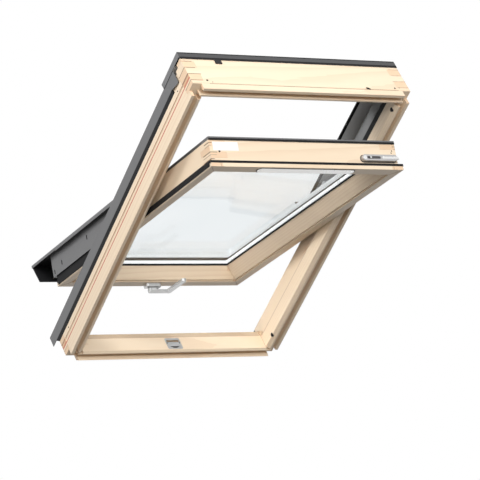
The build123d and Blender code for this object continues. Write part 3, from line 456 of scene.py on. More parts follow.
def coated(
    name,
    colour,
    worn,
    rough,
    relief,
    fine_scale=600.0,
    edge_radius=0.0008,
    wear=0.25,
    metallic=0.0,
    gloss=0.5,
):
    """A coated or moulded finish: a colour that drifts towards a worn one, with fine relief."""
    material, tree, shader = new_material(name)
    speckle = use_group(tree, bloom, **{"Fine Scale": fine_scale})
    edges = use_group(tree, soft_edges, Radius=edge_radius)
    drift = math_node(tree, "MULTIPLY", speckle["Broad"], COAT_DRIFT)
    edge_wear = math_node(tree, "MULTIPLY", edges["Edge"], wear)
    base = blend_colour(tree, math_node(tree, "MAXIMUM", drift, edge_wear), (*colour, 1), (*worn, 1))
    low = rough - ROUGH_DRIFT / 2
    uneven = math_node(tree, "MULTIPLY_ADD", speckle["Broad"], ROUGH_DRIFT, low)
    peel = {"Strength": relief, "Distance": 0.0002}
    peel |= {"Height": speckle["Fine"], "Normal": edges["Normal"]}
    bump = add_node(tree, "ShaderNodeBump", peel)
    tree.links.new(base, shader.inputs["Base Color"])
    tree.links.new(uneven, shader.inputs["Roughness"])
    tree.links.new(bump.outputs["Normal"], shader.inputs["Normal"])
    shader.inputs["Metallic"].default_value = metallic
    shader.inputs["Specular IOR Level"].default_value = gloss
    return material


print("coated finishes ready")

# %% [markdown]
# The sheets are not one grey all over. The covers of the sash are painted black on the sides that
# look into the room and up the roof, painted shade for the hollows under them; the upper covers have
# a paler back; and the ends of the hood are a paler grey than its front, a painted highlight. A face's
# direction picks these out. The legs of the covers that stand on the glass are pale, above a black
# rubber foot, and are picked out by their place.

# %% Grey lacquers and their second coats
BLACK_SHADE_AND_RUBBER = (0.012, 0.012, 0.013, 1)
PALE_LEG = (0.97, 0.98, 0.98, 1)
PALE_BACK = (0.50, 0.50, 0.50, 1)
HOOD_END_HIGHLIGHT = (0.16, 0.16, 0.165, 1)
grey_lacquer = coated("grey lacquer", (0.125, 0.125, 0.128), (0.17, 0.17, 0.174), 0.42, 0.12)
cover_lacquer = coated("cover lacquer", (0.14, 0.14, 0.143), (0.19, 0.19, 0.194), 0.42, 0.12)
hood_lacquer = coated(
    "dark grey lacquer", (0.052, 0.052, 0.054), (0.085, 0.085, 0.087), 0.4, 0.12, gloss=0.35
)
sheet_back = coated("bare sheet back", (0.06, 0.06, 0.062), (0.09, 0.09, 0.092), 0.45, 0.15)
trim_lacquer = coated("trim lacquer", (0.05, 0.05, 0.051), (0.09, 0.09, 0.092), 0.45, 0.15)

tree = cover_lacquer.node_tree
to_room = math_node(tree, "MULTIPLY", facing(tree, SASH_OUT), -1.0)
shaded_facing = math_node(tree, "MAXIMUM", to_room, facing(tree, SASH_UP))
# Painted shade: the sides of the sash covers that look into the room and up the roof are black.
second_coat(cover_lacquer, step_mask(tree, shaded_facing, 0.25, 0.35), BLACK_SHADE_AND_RUBBER)
tree = sheet_back.node_tree
underside = math_node(tree, "MULTIPLY", facing(tree, ROOF_OUT), -1.0)
second_coat(sheet_back, step_mask(tree, underside, 0.3, 0.5), PALE_BACK)
tree = hood_lacquer.node_tree
lit_hood_end = math_node(tree, "ABSOLUTE", facing(tree, ACROSS))
# Painted highlight: the ends of the hood are a paler grey than its front.
second_coat(hood_lacquer, step_mask(tree, lit_hood_end, 0.6, 0.8), HOOD_END_HIGHLIGHT)
print("grey lacquers ready")

# %% Pale legs of the covers over the glass
LEGS_FOOT = -491
RUBBER_FOOT_TOP = -31


def paint_inner_legs(material, legs_half):
    """Pale coat on the legs of a cover that stand on the glass, above a black rubber foot."""
    tree = material.node_tree
    parts = split(tree, turned_place(tree, SASH_PITCH))
    pivot = sash_at(0, 0, 0)
    foot_line = -(LEGS_FOOT / 1000 + pivot.dot(SASH_UP))
    inside = math_node(tree, "LESS_THAN", math_node(tree, "ABSOLUTE", parts["X"]), legs_half / 1000)
    leg = math_node(tree, "MULTIPLY", inside, math_node(tree, "LESS_THAN", parts["Y"], foot_line))
    second_coat(material, leg, BLACK_SHADE_AND_RUBBER)
    rubber_line = pivot.dot(SASH_OUT) + RUBBER_FOOT_TOP / 1000
    raised = math_node(tree, "GREATER_THAN", parts["Z"], rubber_line)
    second_coat(material, math_node(tree, "MULTIPLY", leg, raised), PALE_LEG)


paint_inner_legs(cover_lacquer, 301.0)
paint_inner_legs(trim_lacquer, 291.0)
finish_nodes(grey_lacquer, "left_side_cladding", "right_side_cladding", "bottom_cladding", "top_trim")
finish_nodes(cover_lacquer, "left_side_panel", "right_side_panel")
finish_nodes(cover_lacquer, "left_lower_cover", "right_lower_cover", "bottom_cover")
finish_nodes(hood_lacquer, "hood")
finish_nodes(sheet_back, "left_upper_cover", "right_upper_cover")
finish_nodes(trim_lacquer, "left_side_trim", "right_side_trim")
print("sheets lacquered")

# %% [markdown]
# The gaskets are black rubber. The side stops are moulded from two rubbers, a black foot and a
# grey upper part, which the height over the roof tells apart.

# %% Rubber and plastic
STOP_GREY = (0.30, 0.30, 0.302, 1)
rubber = coated(
    "black rubber", (0.012, 0.012, 0.0125), (0.026, 0.026, 0.027), 0.62, 0.25, 900.0, gloss=0.12
)
stop_rubber = coated(
    "two-tone rubber", (0.014, 0.014, 0.015), (0.03, 0.03, 0.032), 0.6, 0.25, 900.0, gloss=0.15
)
black_plastic = coated(
    "black plastic", (0.014, 0.014, 0.015), (0.035, 0.035, 0.037), 0.45, 0.2, 1200.0, gloss=0.2
)
tree = stop_rubber.node_tree
stop_height = split(tree, turned_place(tree, ROOF_PITCH))["Z"]
second_coat(stop_rubber, step_mask(tree, stop_height, 0.022, 0.026), STOP_GREY)

finish_nodes(rubber, *[name for name in nodes if name.endswith(("gasket", "seal"))])
finish_nodes(stop_rubber, "left_stop_gasket", "right_stop_gasket")
finish_nodes(black_plastic, "hood_clip", "upper_bolt_bushing", "lower_bolt_bushing", "setting_blocks")
print("rubber and plastic given")

# %% [markdown]
# The fittings are metal: a bright satin plate over the ventilation flap, a cast handle, zinc on the
# bolt and the striker, and steel hinges and screws. The bolt's rod is dark, with a bright end. The
# spacer between the panes is a pale metal, and the label is blank.

# %% Metals and the label
BRIGHT_END_X = 0.285
BRIGHT_STEEL = (0.80, 0.80, 0.79, 1)
satin_silver = coated(
    "satin silver", (0.80, 0.80, 0.79), (0.92, 0.92, 0.91), 0.3, 0.08, 1500.0, metallic=0.85
)
cast_silver = coated(
    "cast silver", (0.58, 0.58, 0.58), (0.78, 0.78, 0.77), 0.32, 0.08, 1500.0, metallic=0.85
)
grey_zinc = coated("grey zinc", (0.46, 0.45, 0.45), (0.66, 0.66, 0.65), 0.34, 0.08, 1300.0, metallic=0.7)
zinc_steel = coated("zinc steel", (0.50, 0.50, 0.50), (0.62, 0.62, 0.60), 0.36, 0.1, 1100.0, metallic=0.9)
dark_steel = coated("dark steel", (0.10, 0.095, 0.10), (0.20, 0.19, 0.20), 0.4, 0.08, 1300.0, metallic=0.6)
spacer_metal = coated("spacer metal", (0.90, 0.91, 0.91), (0.93, 0.93, 0.93), 0.3, 0.05, metallic=0.15)
label_white = coated("blank label", (0.88, 0.88, 0.88), (0.84, 0.84, 0.84), 0.3, 0.03, edge_radius=0.0003)
tree = dark_steel.node_tree
rod_x = split(tree, add_node(tree, "ShaderNodeTexCoord").outputs["Object"])["X"]
rod_end = step_mask(tree, rod_x, BRIGHT_END_X - 0.001, BRIGHT_END_X + 0.001)
second_coat(dark_steel, rod_end, BRIGHT_STEEL)

finish_nodes(satin_silver, "vent_plate", "lock_tongue")
finish_nodes(cast_silver, "handle_base", "handle_lever")
finish_nodes(dark_steel, "bolt_rod")
finish_nodes(grey_zinc, "bolt_housing", "striker_plate")
finish_nodes(zinc_steel, *[name for name in nodes if name.endswith(("hinge", "screw", "screws"))])
finish_nodes(spacer_metal, "spacer_frame")
finish_nodes(label_white, "label_plate")
print("metals and label given")

# %% [markdown]
# ## Glass
#
# Float glass is clear, with a faint grey-green body colour that shows most at its edges. The panes
# keep a plain transmission, with a lower index than real glass, so that they stay as clear as thin
# double glazing looks. Broad noise lets the body colour drift between a cooler and a clearer tint, a
# painted reflection of faint clouds. A very slight unevenness in their normal makes reflections wander
# as they do in real glass. Their shadows are switched off, because without caustics Cycles would give
# clear panes the shadow of dark plates.

# %% Glass material
GLASS_COOL = (0.90, 0.925, 0.935, 1)
GLASS_CLEAR = (0.95, 0.962, 0.966, 1)
PANES = ("inner_pane", "outer_pane")
float_glass, tree, shader = new_material("float glass")
wave = noise(tree, add_node(tree, "ShaderNodeTexCoord").outputs["Object"], 3.0, 1.0)["Fac"]
ripple = add_node(tree, "ShaderNodeBump", {"Strength": 0.02, "Distance": 0.01, "Height": wave})
# Painted reflection: the tint drifts with the noise like faint reflected clouds.
tint_with_painted_clouds = blend_colour(tree, wave, GLASS_COOL, GLASS_CLEAR)
tree.links.new(tint_with_painted_clouds, shader.inputs["Base Color"])
tree.links.new(ripple.outputs["Normal"], shader.inputs["Normal"])
shader.inputs["Roughness"].default_value = 0.0
shader.inputs["IOR"].default_value = 1.1
shader.inputs["Transmission Weight"].default_value = 1.0
finish_nodes(float_glass, *PANES)
for pane in PANES:
    nodes[pane].visible_shadow = False
print("glass given")

# %% [markdown]
# ## Small things that repeat
#
# Joint lines, screw recesses and the dark backs of slots are all short bars, and nail holes are short
# discs. They are a good use of Geometry Nodes: each one is a point that carries its direction, its
# facing and its size as attributes, and the tree turns and scales one bar or disc onto every point.
# The tree ends in Realize Instances and Set Material, and the result is kept as a plain mesh.

# %% Geometry Nodes: one shape on every point
CARRIED = ("along", "facing", "size")


def repeat_tree(name, primitive, sizes, **settings):
    """A tree that sets one primitive on every point, turned and scaled by the point's attributes."""
    tree = bpy.data.node_groups.new(name, "GeometryNodeTree")
    tree.interface.new_socket("Geometry", in_out="INPUT", socket_type="NodeSocketGeometry")
    tree.interface.new_socket("Material", in_out="INPUT", socket_type="NodeSocketMaterial")
    for title, (kind, value) in sizes.items():
        socket = tree.interface.new_socket(title, in_out="INPUT", socket_type=kind)
        socket.default_value = value
    tree.interface.new_socket("Geometry", in_out="OUTPUT", socket_type="NodeSocketGeometry")
    given = tree.nodes.new("NodeGroupInput").outputs
    result = tree.nodes.new("NodeGroupOutput").inputs
    shape = add_node(tree, primitive, {title: given[title] for title in sizes}, **settings)
    named = "GeometryNodeInputNamedAttribute"
    along, facing, size = [
        add_node(tree, named, {"Name": title}, data_type="FLOAT_VECTOR").outputs["Attribute"]
        for title in CARRIED
    ]
    align = "FunctionNodeAlignRotationToVector"
    lengthwise = add_node(tree, align, {"Vector": along}, axis="X").outputs["Rotation"]
    flat = {"Rotation": lengthwise, "Vector": facing}
    turned = add_node(tree, align, flat, axis="Z", pivot_axis="X").outputs["Rotation"]
    placing = {"Points": given["Geometry"], "Instance": shape.outputs["Mesh"]}
    placing |= {"Rotation": turned, "Scale": size}
    placed = add_node(tree, "GeometryNodeInstanceOnPoints", placing).outputs["Instances"]
    real = add_node(tree, "GeometryNodeRealizeInstances", {"Geometry": placed}).outputs["Geometry"]
    coat = {"Geometry": real, "Material": given["Material"]}
    finished = add_node(tree, "GeometryNodeSetMaterial", coat).outputs["Geometry"]
    tree.links.new(finished, result["Geometry"])
    return tree


set_bars = repeat_tree("set bars", "GeometryNodeMeshCube", {"Size": ("NodeSocketVector", (1, 1, 1))})
disc_sizes = {
    "Vertices": ("NodeSocketInt", 20),
    "Radius": ("NodeSocketFloat", 0.5),
    "Depth": ("NodeSocketFloat", 1.0),
}
set_discs = repeat_tree("set discs", "GeometryNodeMeshCylinder", disc_sizes, fill_type="NGON")
print("trees", set_bars.name, "and", set_discs.name)

# %% [markdown]
# A modifier's inputs are filled by the identifier of each socket before the object is first
# evaluated. Then the evaluated object is turned into a plain mesh, the modifier is removed, and the
# piece is hung on the body that it moves with.

# %% Run a tree and keep its result
def hang(piece, body):
    """Makes a finished piece move with a body, and prints its number of faces."""
    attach(piece, body)
    print(piece.name, len(piece.data.polygons), "faces on", body)
    return piece


def new_piece(name, mesh):
    """Puts a mesh into the scene as an object at the origin."""
    piece = bpy.data.objects.new(name, mesh)
    bpy.context.collection.objects.link(piece)
    return piece


def keep_result(piece, tree, material):
    """Runs a tree on a piece and keeps the result as its plain mesh."""
    modifier = piece.modifiers.new(tree.name, "NODES")
    modifier.node_group = tree
    for socket in tree.interface.items_tree:
        if socket.in_out != "INPUT" or socket.name == "Geometry":
            continue
        modifier[socket.identifier] = material if socket.name == "Material" else socket.default_value
    graph = bpy.context.evaluated_depsgraph_get()
    made = bpy.data.meshes.new_from_object(piece.evaluated_get(graph))
    piece.modifiers.clear()
    made.name = piece.name
    for title in CARRIED:
        if title in made.attributes:
            made.attributes.remove(made.attributes[title])
    piece.data = made


def place_solids(name, tree, rows, material, body):
    """Sets one bar or disc for each row (centre, along, facing, size)."""
    mesh = bpy.data.meshes.new(name)
    mesh.from_pydata([row[0] for row in rows], [], [])
    for place, title in enumerate(CARRIED, start=1):
        layer = mesh.attributes.new(title, "FLOAT_VECTOR", "POINT")
        layer.data.foreach_set("vector", [value for row in rows for value in row[place]])
    piece = new_piece(name, mesh)
    keep_result(piece, tree, material)
    return hang(piece, body)


print("pieces can be placed")

# %% Rows for bars and discs
def bar(at, start, end, face, width, thickness=0.6):
    """A row for a bar from one place to another, lying on a face, in the millimetres of a frame."""
    first = at(*start)
    last = at(*end)
    run = last - first
    return ((first + last) / 2, run.normalized(), face, (run.length, width / 1000, thickness / 1000))


def disc(at, place, face, diameter, thickness=0.6, longer=1.0, along=ACROSS):
    """A row for a round or oval disc on a face."""
    return (at(*place), along, face, (longer * diameter / 1000, diameter / 1000, thickness / 1000))


frame_bar = partial(bar, frame_at)
sash_bar = partial(bar, sash_at)
frame_disc = partial(disc, frame_at)
sash_disc = partial(disc, sash_at)
print("rows can be written for the frame and the sash")

# %% [markdown]
# ### Joint lines
#
# The corners of the frame are finger joints, and those of the sash are combs. Glue and a hair of
# shadow draw a thin brown line round each finger, on the top face and round the corner on the side.

# %% Joint lines of the frame
joint_brown = coated("glue line", (0.24, 0.155, 0.09), (0.36, 0.25, 0.16), 0.6, 0.1, wear=0.0)
faint_glue_and_shade = coated("faint glue and shade line", (0.52, 0.37, 0.25), (0.62, 0.47, 0.33), 0.6, 0.1, wear=0.0)
FRAME_HALF = 390
STILE_INNER = 347
RAIL_WIDTH = 35
FINGER_DEPTH = 45
FINGER_LINES = ((38, 41), (66, 46), (94, 37), (122, 36))
SEAM_HEIGHT = 23.5
REBATE_HEIGHT = 62

frame_lines = []
frame_faint = []
for side in (-1, 1):
    rows = frame_lines if side < 0 else frame_faint
    outward = ACROSS * side
    edge_x = side * FRAME_HALF
    inner_x = side * STILE_INNER
    for n, reach in FINGER_LINES:
        finger_end = (edge_x - side * reach, FRAME_LENGTH, n)
        rows.append(frame_bar((edge_x, FRAME_LENGTH, n), finger_end, ROOF_UP, 2.2))
    for n, _ in FINGER_LINES[:3]:
        finger_foot = (edge_x, FRAME_LENGTH - FINGER_DEPTH, n)
        rows.append(frame_bar((edge_x, FRAME_LENGTH, n), finger_foot, outward, 2.0))
    for n, _ in FINGER_LINES[:2]:
        frame_faint.append(frame_bar((edge_x, 0, n), (edge_x, RAIL_WIDTH, n), outward, 2.0))
    frame_faint.append(frame_bar((inner_x, RAIL_WIDTH, 2), (inner_x, RAIL_WIDTH, 82), ROOF_UP, 2.4))
    # Painted shade: a faint line along the step of the lip on each stile's inner face.
    frame_faint.append(frame_bar((inner_x, 40, 57), (inner_x, 540, 57), outward * -1, 1.6))
# Painted shade: a faint line along the step of the rebate on the bottom rail.
rebate_shade_line = ((-345, RAIL_WIDTH, REBATE_HEIGHT), (345, RAIL_WIDTH, REBATE_HEIGHT))
seam_line = ((-330, FRAME_LENGTH, SEAM_HEIGHT), (346, FRAME_LENGTH, SEAM_HEIGHT))
frame_faint.append(frame_bar(*rebate_shade_line, ROOF_UP, 1.8))
frame_lines.append(frame_bar(*seam_line, ROOF_UP, 1.5))
place_solids("frame_joint_lines", set_bars, frame_lines, joint_brown, "frame")
place_solids("frame_faint_lines", set_bars, frame_faint, faint_glue_and_shade, "frame")

# %% Comb and mitre lines of the sash
SASH_HALF = 333
SASH_TOP = 515
SASH_FOOT = -544
SASH_FOOT_COMB = -515
ROOM_FACE = -113.5
COMB_DARK = ((-33, 486, 323), (-63.5, 471, 309), (-85, 471, 322))
COMB_FAINT = ((-42.5, 487, 327), (-72, 469, 312))

for title, rows, coat in (("dark", COMB_DARK, joint_brown), ("faint", COMB_FAINT, faint_glue_and_shade)):
    lines = []
    for side in (-1, 1):
        outward = ACROSS * side
        edge_x = side * SASH_HALF
        for n, foot, reach in rows:
            corner = (edge_x, SASH_TOP, n)
            lines.append(sash_bar(corner, (edge_x, foot, n), outward, 2.6))
            lines.append(sash_bar(corner, (side * reach, SASH_TOP, n), SASH_UP, 2.2))
            lines.append(sash_bar((edge_x, SASH_FOOT, n), (edge_x, SASH_FOOT_COMB, n), outward, 2.2))
        if title == "faint":
            lines.append(sash_bar((side * 309, 525, -113), (side * 309, 525, -102), SASH_UP, 2.0))
            for near, far in ((483, 523), (-512, -552)):
                mitre = ((side * 314, near, ROOM_FACE), (side * 342, far, ROOM_FACE))
                lines.append(sash_bar(*mitre, SASH_OUT * -1, 1.8))
    place_solids(f"sash_{title}_lines", set_bars, lines, coat, "sash")

# %% [markdown]
# ### Holes and dark backs
#
# Nail and pilot holes are dark dots on the timbers, painted shade for the inside of each hole. Slots
# cut in thin sheet or in a plate get a black back a little way in, painted shade for the dark behind them.

# %% Dark dots of the frame
hole_shade = coated(
    "painted hole shade", (0.009, 0.008, 0.007), (0.016, 0.015, 0.014), 0.7, 0.1, wear=0.0, gloss=0.1
)
NAIL_DOTS = ((-334, 38, 7.0), (-318, 31, 3.0), (337, 34, 6.0), (354, 36, 3.0))
OVAL_LEAN = (ACROSS - ROOF_OUT * 0.45).normalized()
SIDE_HOLE_X = 389.6
SIDE_HOLE_PLACES = (78.5, 1099.5)
SIDE_HOLE_HEIGHT = 73.5
BOLT_HOLE_X = 361.4
BOLT_HOLE_PLACES = (90.2, 1107.8)
BOLT_HOLE_HEIGHT = 13.4

# Painted shade: dark dots for the insides of the nail, pilot and bolt holes.
frame_dots = [frame_disc((x, FRAME_LENGTH, n), ROOF_UP, size) for x, n, size in NAIL_DOTS]
frame_dots.append(frame_disc((236, FRAME_LENGTH, 28), ROOF_UP, 9.0, longer=1.9, along=OVAL_LEAN))
for side in (-1, 1):
    for s in SIDE_HOLE_PLACES:
        hole = (side * SIDE_HOLE_X, s, SIDE_HOLE_HEIGHT)
        frame_dots.append(frame_disc(hole, ACROSS * side, 4.8, along=ROOF_UP))
for s in BOLT_HOLE_PLACES:
    bore_foot = (BOLT_HOLE_X, s, BOLT_HOLE_HEIGHT)
    frame_dots.append(frame_disc(bore_foot, ACROSS * -1, 9.4, along=ROOF_UP))
place_solids("frame_dots", set_discs, frame_dots, hole_shade, "frame")

# %% Slot backs of the striker plate
BAR_SLOT = ((-22.8, 26.0, 44.5), (22.8, 26.0, 44.5))
CRESCENT_SLOT = ((-18, 33.1, 17.5), (18, 33.1, 17.5))
# Painted shade: black backs in the slots of the striker plate.
striker_backs = [frame_bar(*BAR_SLOT, ROOF_UP, 8.8), frame_bar(*CRESCENT_SLOT, ROOF_UP, 7.6, 0.3)]
place_solids("striker_backs", set_bars, striker_backs, hole_shade, "frame")

# %% Dark dots and slot backs of the sash
SASH_NAIL_DOTS = ((-301, -60.5, 7.0), (316, -54, 4.0), (319, -47, 4.0))
PANEL_FOOT = -558
PANEL_LENGTH = 468
PANEL_ROOM_EDGE = -81
PANEL_WIDTH = 80
PANEL_BACK_X = 347.6
PANEL_SLOTS = ((0.03, 0.19), (0.155, 0.35), (0.57, 0.55))
SLOT_HALF = 12
BOLT_AXIS = -75
HANDLE_SLOT = ((-24, -526, -126.5), (16, -526, -126.5))
BOLT_SLOT = ((221, 517.2, BOLT_AXIS), (262, 517.2, BOLT_AXIS))

# Painted shade: dark dots for the nail holes of the sash.
sash_dots = [sash_disc((x, SASH_TOP, n), SASH_UP, size) for x, n, size in SASH_NAIL_DOTS]
place_solids("sash_dots", set_discs, sash_dots, hole_shade, "sash")
# Painted shade: black backs in the slots of the side panels, the handle and the bolt.
slot_backs = []
for side in (-1, 1):
    x = side * PANEL_BACK_X
    for place, rise in PANEL_SLOTS:
        s = PANEL_FOOT + place * PANEL_LENGTH
        n = PANEL_ROOM_EDGE + rise * PANEL_WIDTH
        slot_backs.append(sash_bar((x, s, n - SLOT_HALF), (x, s, n + SLOT_HALF), ACROSS * side, 12.0))
slot_backs.append(sash_bar(*HANDLE_SLOT, SASH_OUT * -1, 6.0))
slot_backs.append(sash_bar(*BOLT_SLOT, SASH_UP, 7.6))
place_solids("sash_slot_backs", set_bars, slot_backs, hole_shade, "sash")

# %% Cross recesses of the screws
RECESS_SIZE = (0.0046, 0.0011, 0.0006)


def cross(centre, face, first, second):
    """Two bars across a screw's head, its cross recess."""
    return [(centre, direction, face, RECESS_SIZE) for direction in (first, second)]


# Painted shade: dark bars in the cross recesses of the screws.
striker_recesses = []
for x in (-23, 23):
    striker_recesses += cross(frame_at(x, 36.6, 36), ROOF_UP, ACROSS, ROOF_OUT)
place_solids("striker_recesses", set_bars, striker_recesses, hole_shade, "frame")
sash_recesses = []
for s in (-539.5, -526.5):
    sash_recesses += cross(sash_at(22, s, -128.1), SASH_OUT * -1, ACROSS, SASH_UP)
sash_recesses += cross(sash_at(208, 520.6, BOLT_AXIS), SASH_UP, ACROSS, SASH_OUT)
place_solids("sash_screw_recesses", set_bars, sash_recesses, hole_shade, "sash")

# %% [markdown]
# ### Barrel bolt
#
# The bolt's housing has a bright cap over its screw and a bright barrel in which the rod runs. Its
# knob is a bright button that moves with the rod.

# %% Cap, barrel and knob of the bolt
cap = sash_disc((208, 528.3, BOLT_AXIS), SASH_UP, 13.0, 1.6)
barrel = sash_disc((299, 526.0, BOLT_AXIS), ACROSS, 10.0, 54.0, along=SASH_UP)
knob = sash_disc((227.4, 530.3, BOLT_AXIS), SASH_UP, 6.4, 1.2)
place_solids("bolt_cap_and_barrel", set_discs, [cap, barrel], satin_silver, "sash")
place_solids("bolt_button", set_discs, [knob], satin_silver, "bolt")

# %% [markdown]
# ### Shadow rims
#
# The ventilation plate and the bolt lie in shallow round-ended pockets that are a little larger than
# they are, and the gap shows as a dark outline. A pocket is a rule of two half circles and two
# straight sides, so a few lines of mesh code draw it as a thin dark plate under each piece.

# %% Rims of the ventilation plate and the bolt
RIM_STEPS = 12
rim_brown = coated("pocket shade", (0.075, 0.06, 0.05), (0.11, 0.09, 0.075), 0.6, 0.1, wear=0.0)


def mesh_piece(name, shape, material, body):
    """Turns a bmesh into a finished piece, with its faces pointing outwards."""
    bmesh.ops.recalc_face_normals(shape, faces=shape.faces)
    mesh = bpy.data.meshes.new(name)
    shape.to_mesh(mesh)
    shape.free()
    mesh.materials.append(material)
    return hang(new_piece(name, mesh), body)


def round_ended_plate(name, centre, along, side, half_length, half_width, thickness):
    """A thin plate with round ends, in metres, that rides with the sash."""
    outline = []
    for end in (1, -1):
        for step in range(RIM_STEPS + 1):
            turn = radians(-90 + 180 * step / RIM_STEPS)
            run = end * (half_length - half_width + half_width * cos(turn))
            rise = end * half_width * sin(turn)
            outline.append(centre + along * run + side * rise)
    lift = along.cross(side).normalized() * thickness
    shape = bmesh.new()
    foot = [shape.verts.new(point) for point in outline]
    head = [shape.verts.new(point + lift) for point in outline]
    shape.faces.new(foot[::-1])
    shape.faces.new(head)
    for k in range(len(outline)):
        shape.faces.new([foot[k - 1], foot[k], head[k], head[k - 1]])
    return mesh_piece(name, shape, rim_brown, "sash")


round_ended_plate("vent_rim", sash_at(0, 501, -113.2), ACROSS, SASH_UP, 0.1752, 0.0178, 0.001)
round_ended_plate("bolt_rim", sash_at(263, 514.8, BOLT_AXIS), ACROSS, SASH_OUT, 0.0665, 0.0128, 0.0009)

# %% [markdown]
# ### Lip of the lower lining groove
#
# Along the foot of the frame the lip of the lining groove is bevelled, so that the lining can stand
# upright on it. The bevel faces up the roof and catches the light. The rubber under the side cladding
# is cut off level at its foot. Both are bars of triangular section.

# %% Bevelled lip and gasket ends
LIP_HALF = 358
LIP_SIZE = 10
BAR_FACES = ((0, 1, 2), (5, 4, 3), (0, 3, 4, 1), (1, 4, 5, 2), (2, 5, 3, 0))


def three_sided_bars(name, bars, material, body):
    """Bars of triangular section; each is (first x, last x, three places in s and n) of the frame."""
    shape = bmesh.new()
    for first, last, section in bars:
        points = [shape.verts.new(frame_at(x, s, n)) for x in (first, last) for s, n in section]
        for face in BAR_FACES:
            shape.faces.new([points[corner] for corner in face])
    return mesh_piece(name, shape, material, body)


lip_section = ((LIP_SIZE, 0.2), (LIP_SIZE, -LIP_SIZE), (0, 0.2))
lip_bar = (-LIP_HALF, LIP_HALF, lip_section)
three_sided_bars("lining_lip", [lip_bar], bottom_pine, "frame")
end_section = ((0.5, 85), (0.5, 110), (-22, 110))
end_bars = [(side * 383.5, side * 389.8, end_section) for side in (-1, 1)]
three_sided_bars("cladding_gasket_ends", end_bars, rubber, "frame")

# %% [markdown]
# ### Hems and trim rubber
#
# Sheet metal is folded over at its edges. Two black strips on the hood, above and below its grey
# front, stand partly for its hems and partly for painted shade in the gap under its folded edges. The
# bottom cover has a hem along each end. The trim of the sash sits on a black rubber. Thin strips draw
# them.

# %% Hems and painted shade of the hood, hems of the bottom cover, and the trim rubber
HOOD_HALF = 391
HOOD_FRONT = 1179.6
hood_hem_shade_strips = []
# Painted shade in part: the hood's black strips are partly hems and partly shade in the gap under them.
for n, width in ((136.2, 8.0), (158.4, 3.2)):
    hem = ((-HOOD_HALF, HOOD_FRONT, n), (HOOD_HALF, HOOD_FRONT, n))
    hood_hem_shade_strips.append(frame_bar(*hem, ROOF_UP, width, 0.8))
place_solids("hood_hem_shade_strips", set_bars, hood_hem_shade_strips, rubber, "frame")
cover_hems = []
for side in (-1, 1):
    hem = ((side * 365.2, -671, -4.2), (side * 365.2, -490, -4.2))
    cover_hems.append(sash_bar(*hem, ACROSS * side, 9.0, 1.5))
place_solids("bottom_cover_hems", set_bars, cover_hems, grey_lacquer, "sash")
trim_rubber = sash_bar((-SASH_HALF, 517.1, -22), (SASH_HALF, 517.1, -22), SASH_UP, 6.4, 0.8)
place_solids("sash_trim_rubber", set_bars, [trim_rubber], rubber, "sash")

# %% [markdown]
# ## Studio
#
# Four soft lamps light the window. Three stand on the room side, to the left, in front and high up,
# so that the faces that look up the roof are pale and the room faces fall into a warm shade. The
# fourth stands on the sky side and shines through the glass onto the inner faces of the sash. The
# sky fades to dark below the horizon.

# %% Lamps
def soft_lamp(name, place, size, power):
    """A square area lamp that points at the window."""
    lamp = bpy.data.objects.new(name, bpy.data.lights.new(name, "AREA"))
    lamp.data.size = size
    lamp.data.energy = power
    lamp.location = place
    lamp.rotation_euler = (-Vector(place)).to_track_quat("-Z", "Y").to_euler()
    bpy.context.collection.objects.link(lamp)
    print(name, power, "W")


soft_lamp("key lamp", (-4.8, -2.7, 2.4), 2.2, 100)
soft_lamp("front lamp", (-1.4, -5.4, 2.3), 1.8, 150)
soft_lamp("high lamp", (-0.6, -4.1, 4.5), 1.8, 75)
soft_lamp("sky lamp", (-4.6, 0.6, 4.0), 1.8, 175)

# %% World, white to the camera and dimmer as a light
HORIZON_BAND = 0.25
GROUND_LIGHT = 0.04
SKY_LIGHT = 0.50


def is_seen(tree):
    """One for camera, glossy and transmission rays, which should meet plain white, and zero for others."""
    path = add_node(tree, "ShaderNodeLightPath").outputs
    seen = math_node(tree, "MAXIMUM", path["Is Camera Ray"], path["Is Glossy Ray"])
    return math_node(tree, "MAXIMUM", seen, path["Is Transmission Ray"])


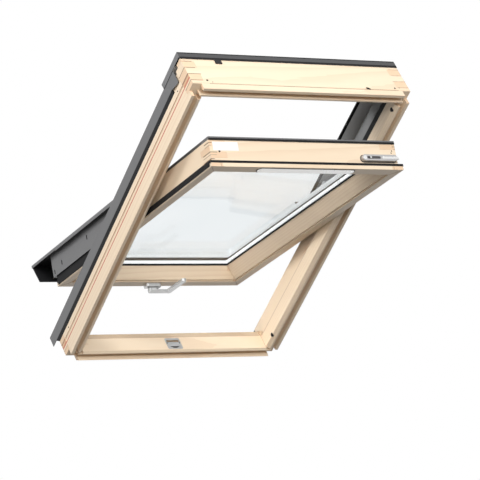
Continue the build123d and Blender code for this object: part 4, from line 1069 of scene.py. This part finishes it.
world = bpy.data.worlds.new("studio")
world.use_nodes = True
bpy.context.scene.world = world
tree = world.node_tree
backdrop = tree.nodes["Background"]
backdrop.inputs["Color"].default_value = (1, 1, 1, 1)
sky_height = split(tree, add_node(tree, "ShaderNodeTexCoord").outputs["Generated"])["Z"]
horizon = {"Value": sky_height, "From Min": -HORIZON_BAND, "From Max": HORIZON_BAND}
horizon |= {"To Min": GROUND_LIGHT, "To Max": SKY_LIGHT}
sky_light = add_node(tree, "ShaderNodeMapRange", horizon).outputs["Result"]
tree.links.new(math_node(tree, "MAXIMUM", is_seen(tree), sky_light), backdrop.inputs["Strength"])
print("world", world.name)

# %% [markdown]
# The floor is far below, where the room's floor would be. Like the world it is pale where it is seen
# and dark as a source of bounced light, so that it doesn't light the window from below.

# %% Floor
FLOOR_HALF = 3.4
FLOOR_Z = -1.3
FLOOR_BOUNCE = (0.14, 0.14, 0.14, 1)
FLOOR_PALE = (0.85, 0.85, 0.85, 1)
SEEN_GLOW = 0.7
floor_corners = [(FLOOR_HALF * x, FLOOR_HALF * y, FLOOR_Z) for x, y in ((-1, -1), (1, -1), (1, 1), (-1, 1))]
floor_mesh = bpy.data.meshes.new("floor")
floor_mesh.from_pydata(floor_corners, [], [(0, 1, 2, 3)])
floor = new_piece("floor", floor_mesh)
floor_paint, tree, shader = new_material("floor paint")
floor_grey = blend_colour(tree, is_seen(tree), FLOOR_BOUNCE, FLOOR_PALE)
tree.links.new(floor_grey, shader.inputs["Base Color"])
shader.inputs["Roughness"].default_value = 0.9
glow = add_node(tree, "ShaderNodeEmission", {"Color": (1, 1, 1, 1), "Strength": 1.0})
seen_glow = math_node(tree, "MULTIPLY", is_seen(tree), SEEN_GLOW)
mixed = add_node(tree, "ShaderNodeMixShader", {0: seen_glow, 1: shader.outputs[0], 2: glow.outputs[0]})
tree.links.new(mixed.outputs[0], tree.nodes["Material Output"].inputs["Surface"])
floor_mesh.materials.append(floor_paint)
bpy.context.scene.view_settings.view_transform = "Standard"
print("floor at", FLOOR_Z)

# %% [markdown]
# The scene ends here. The dressed window has to stay inside the box of the solids.

# %% End of the scene
print("scene dressed")
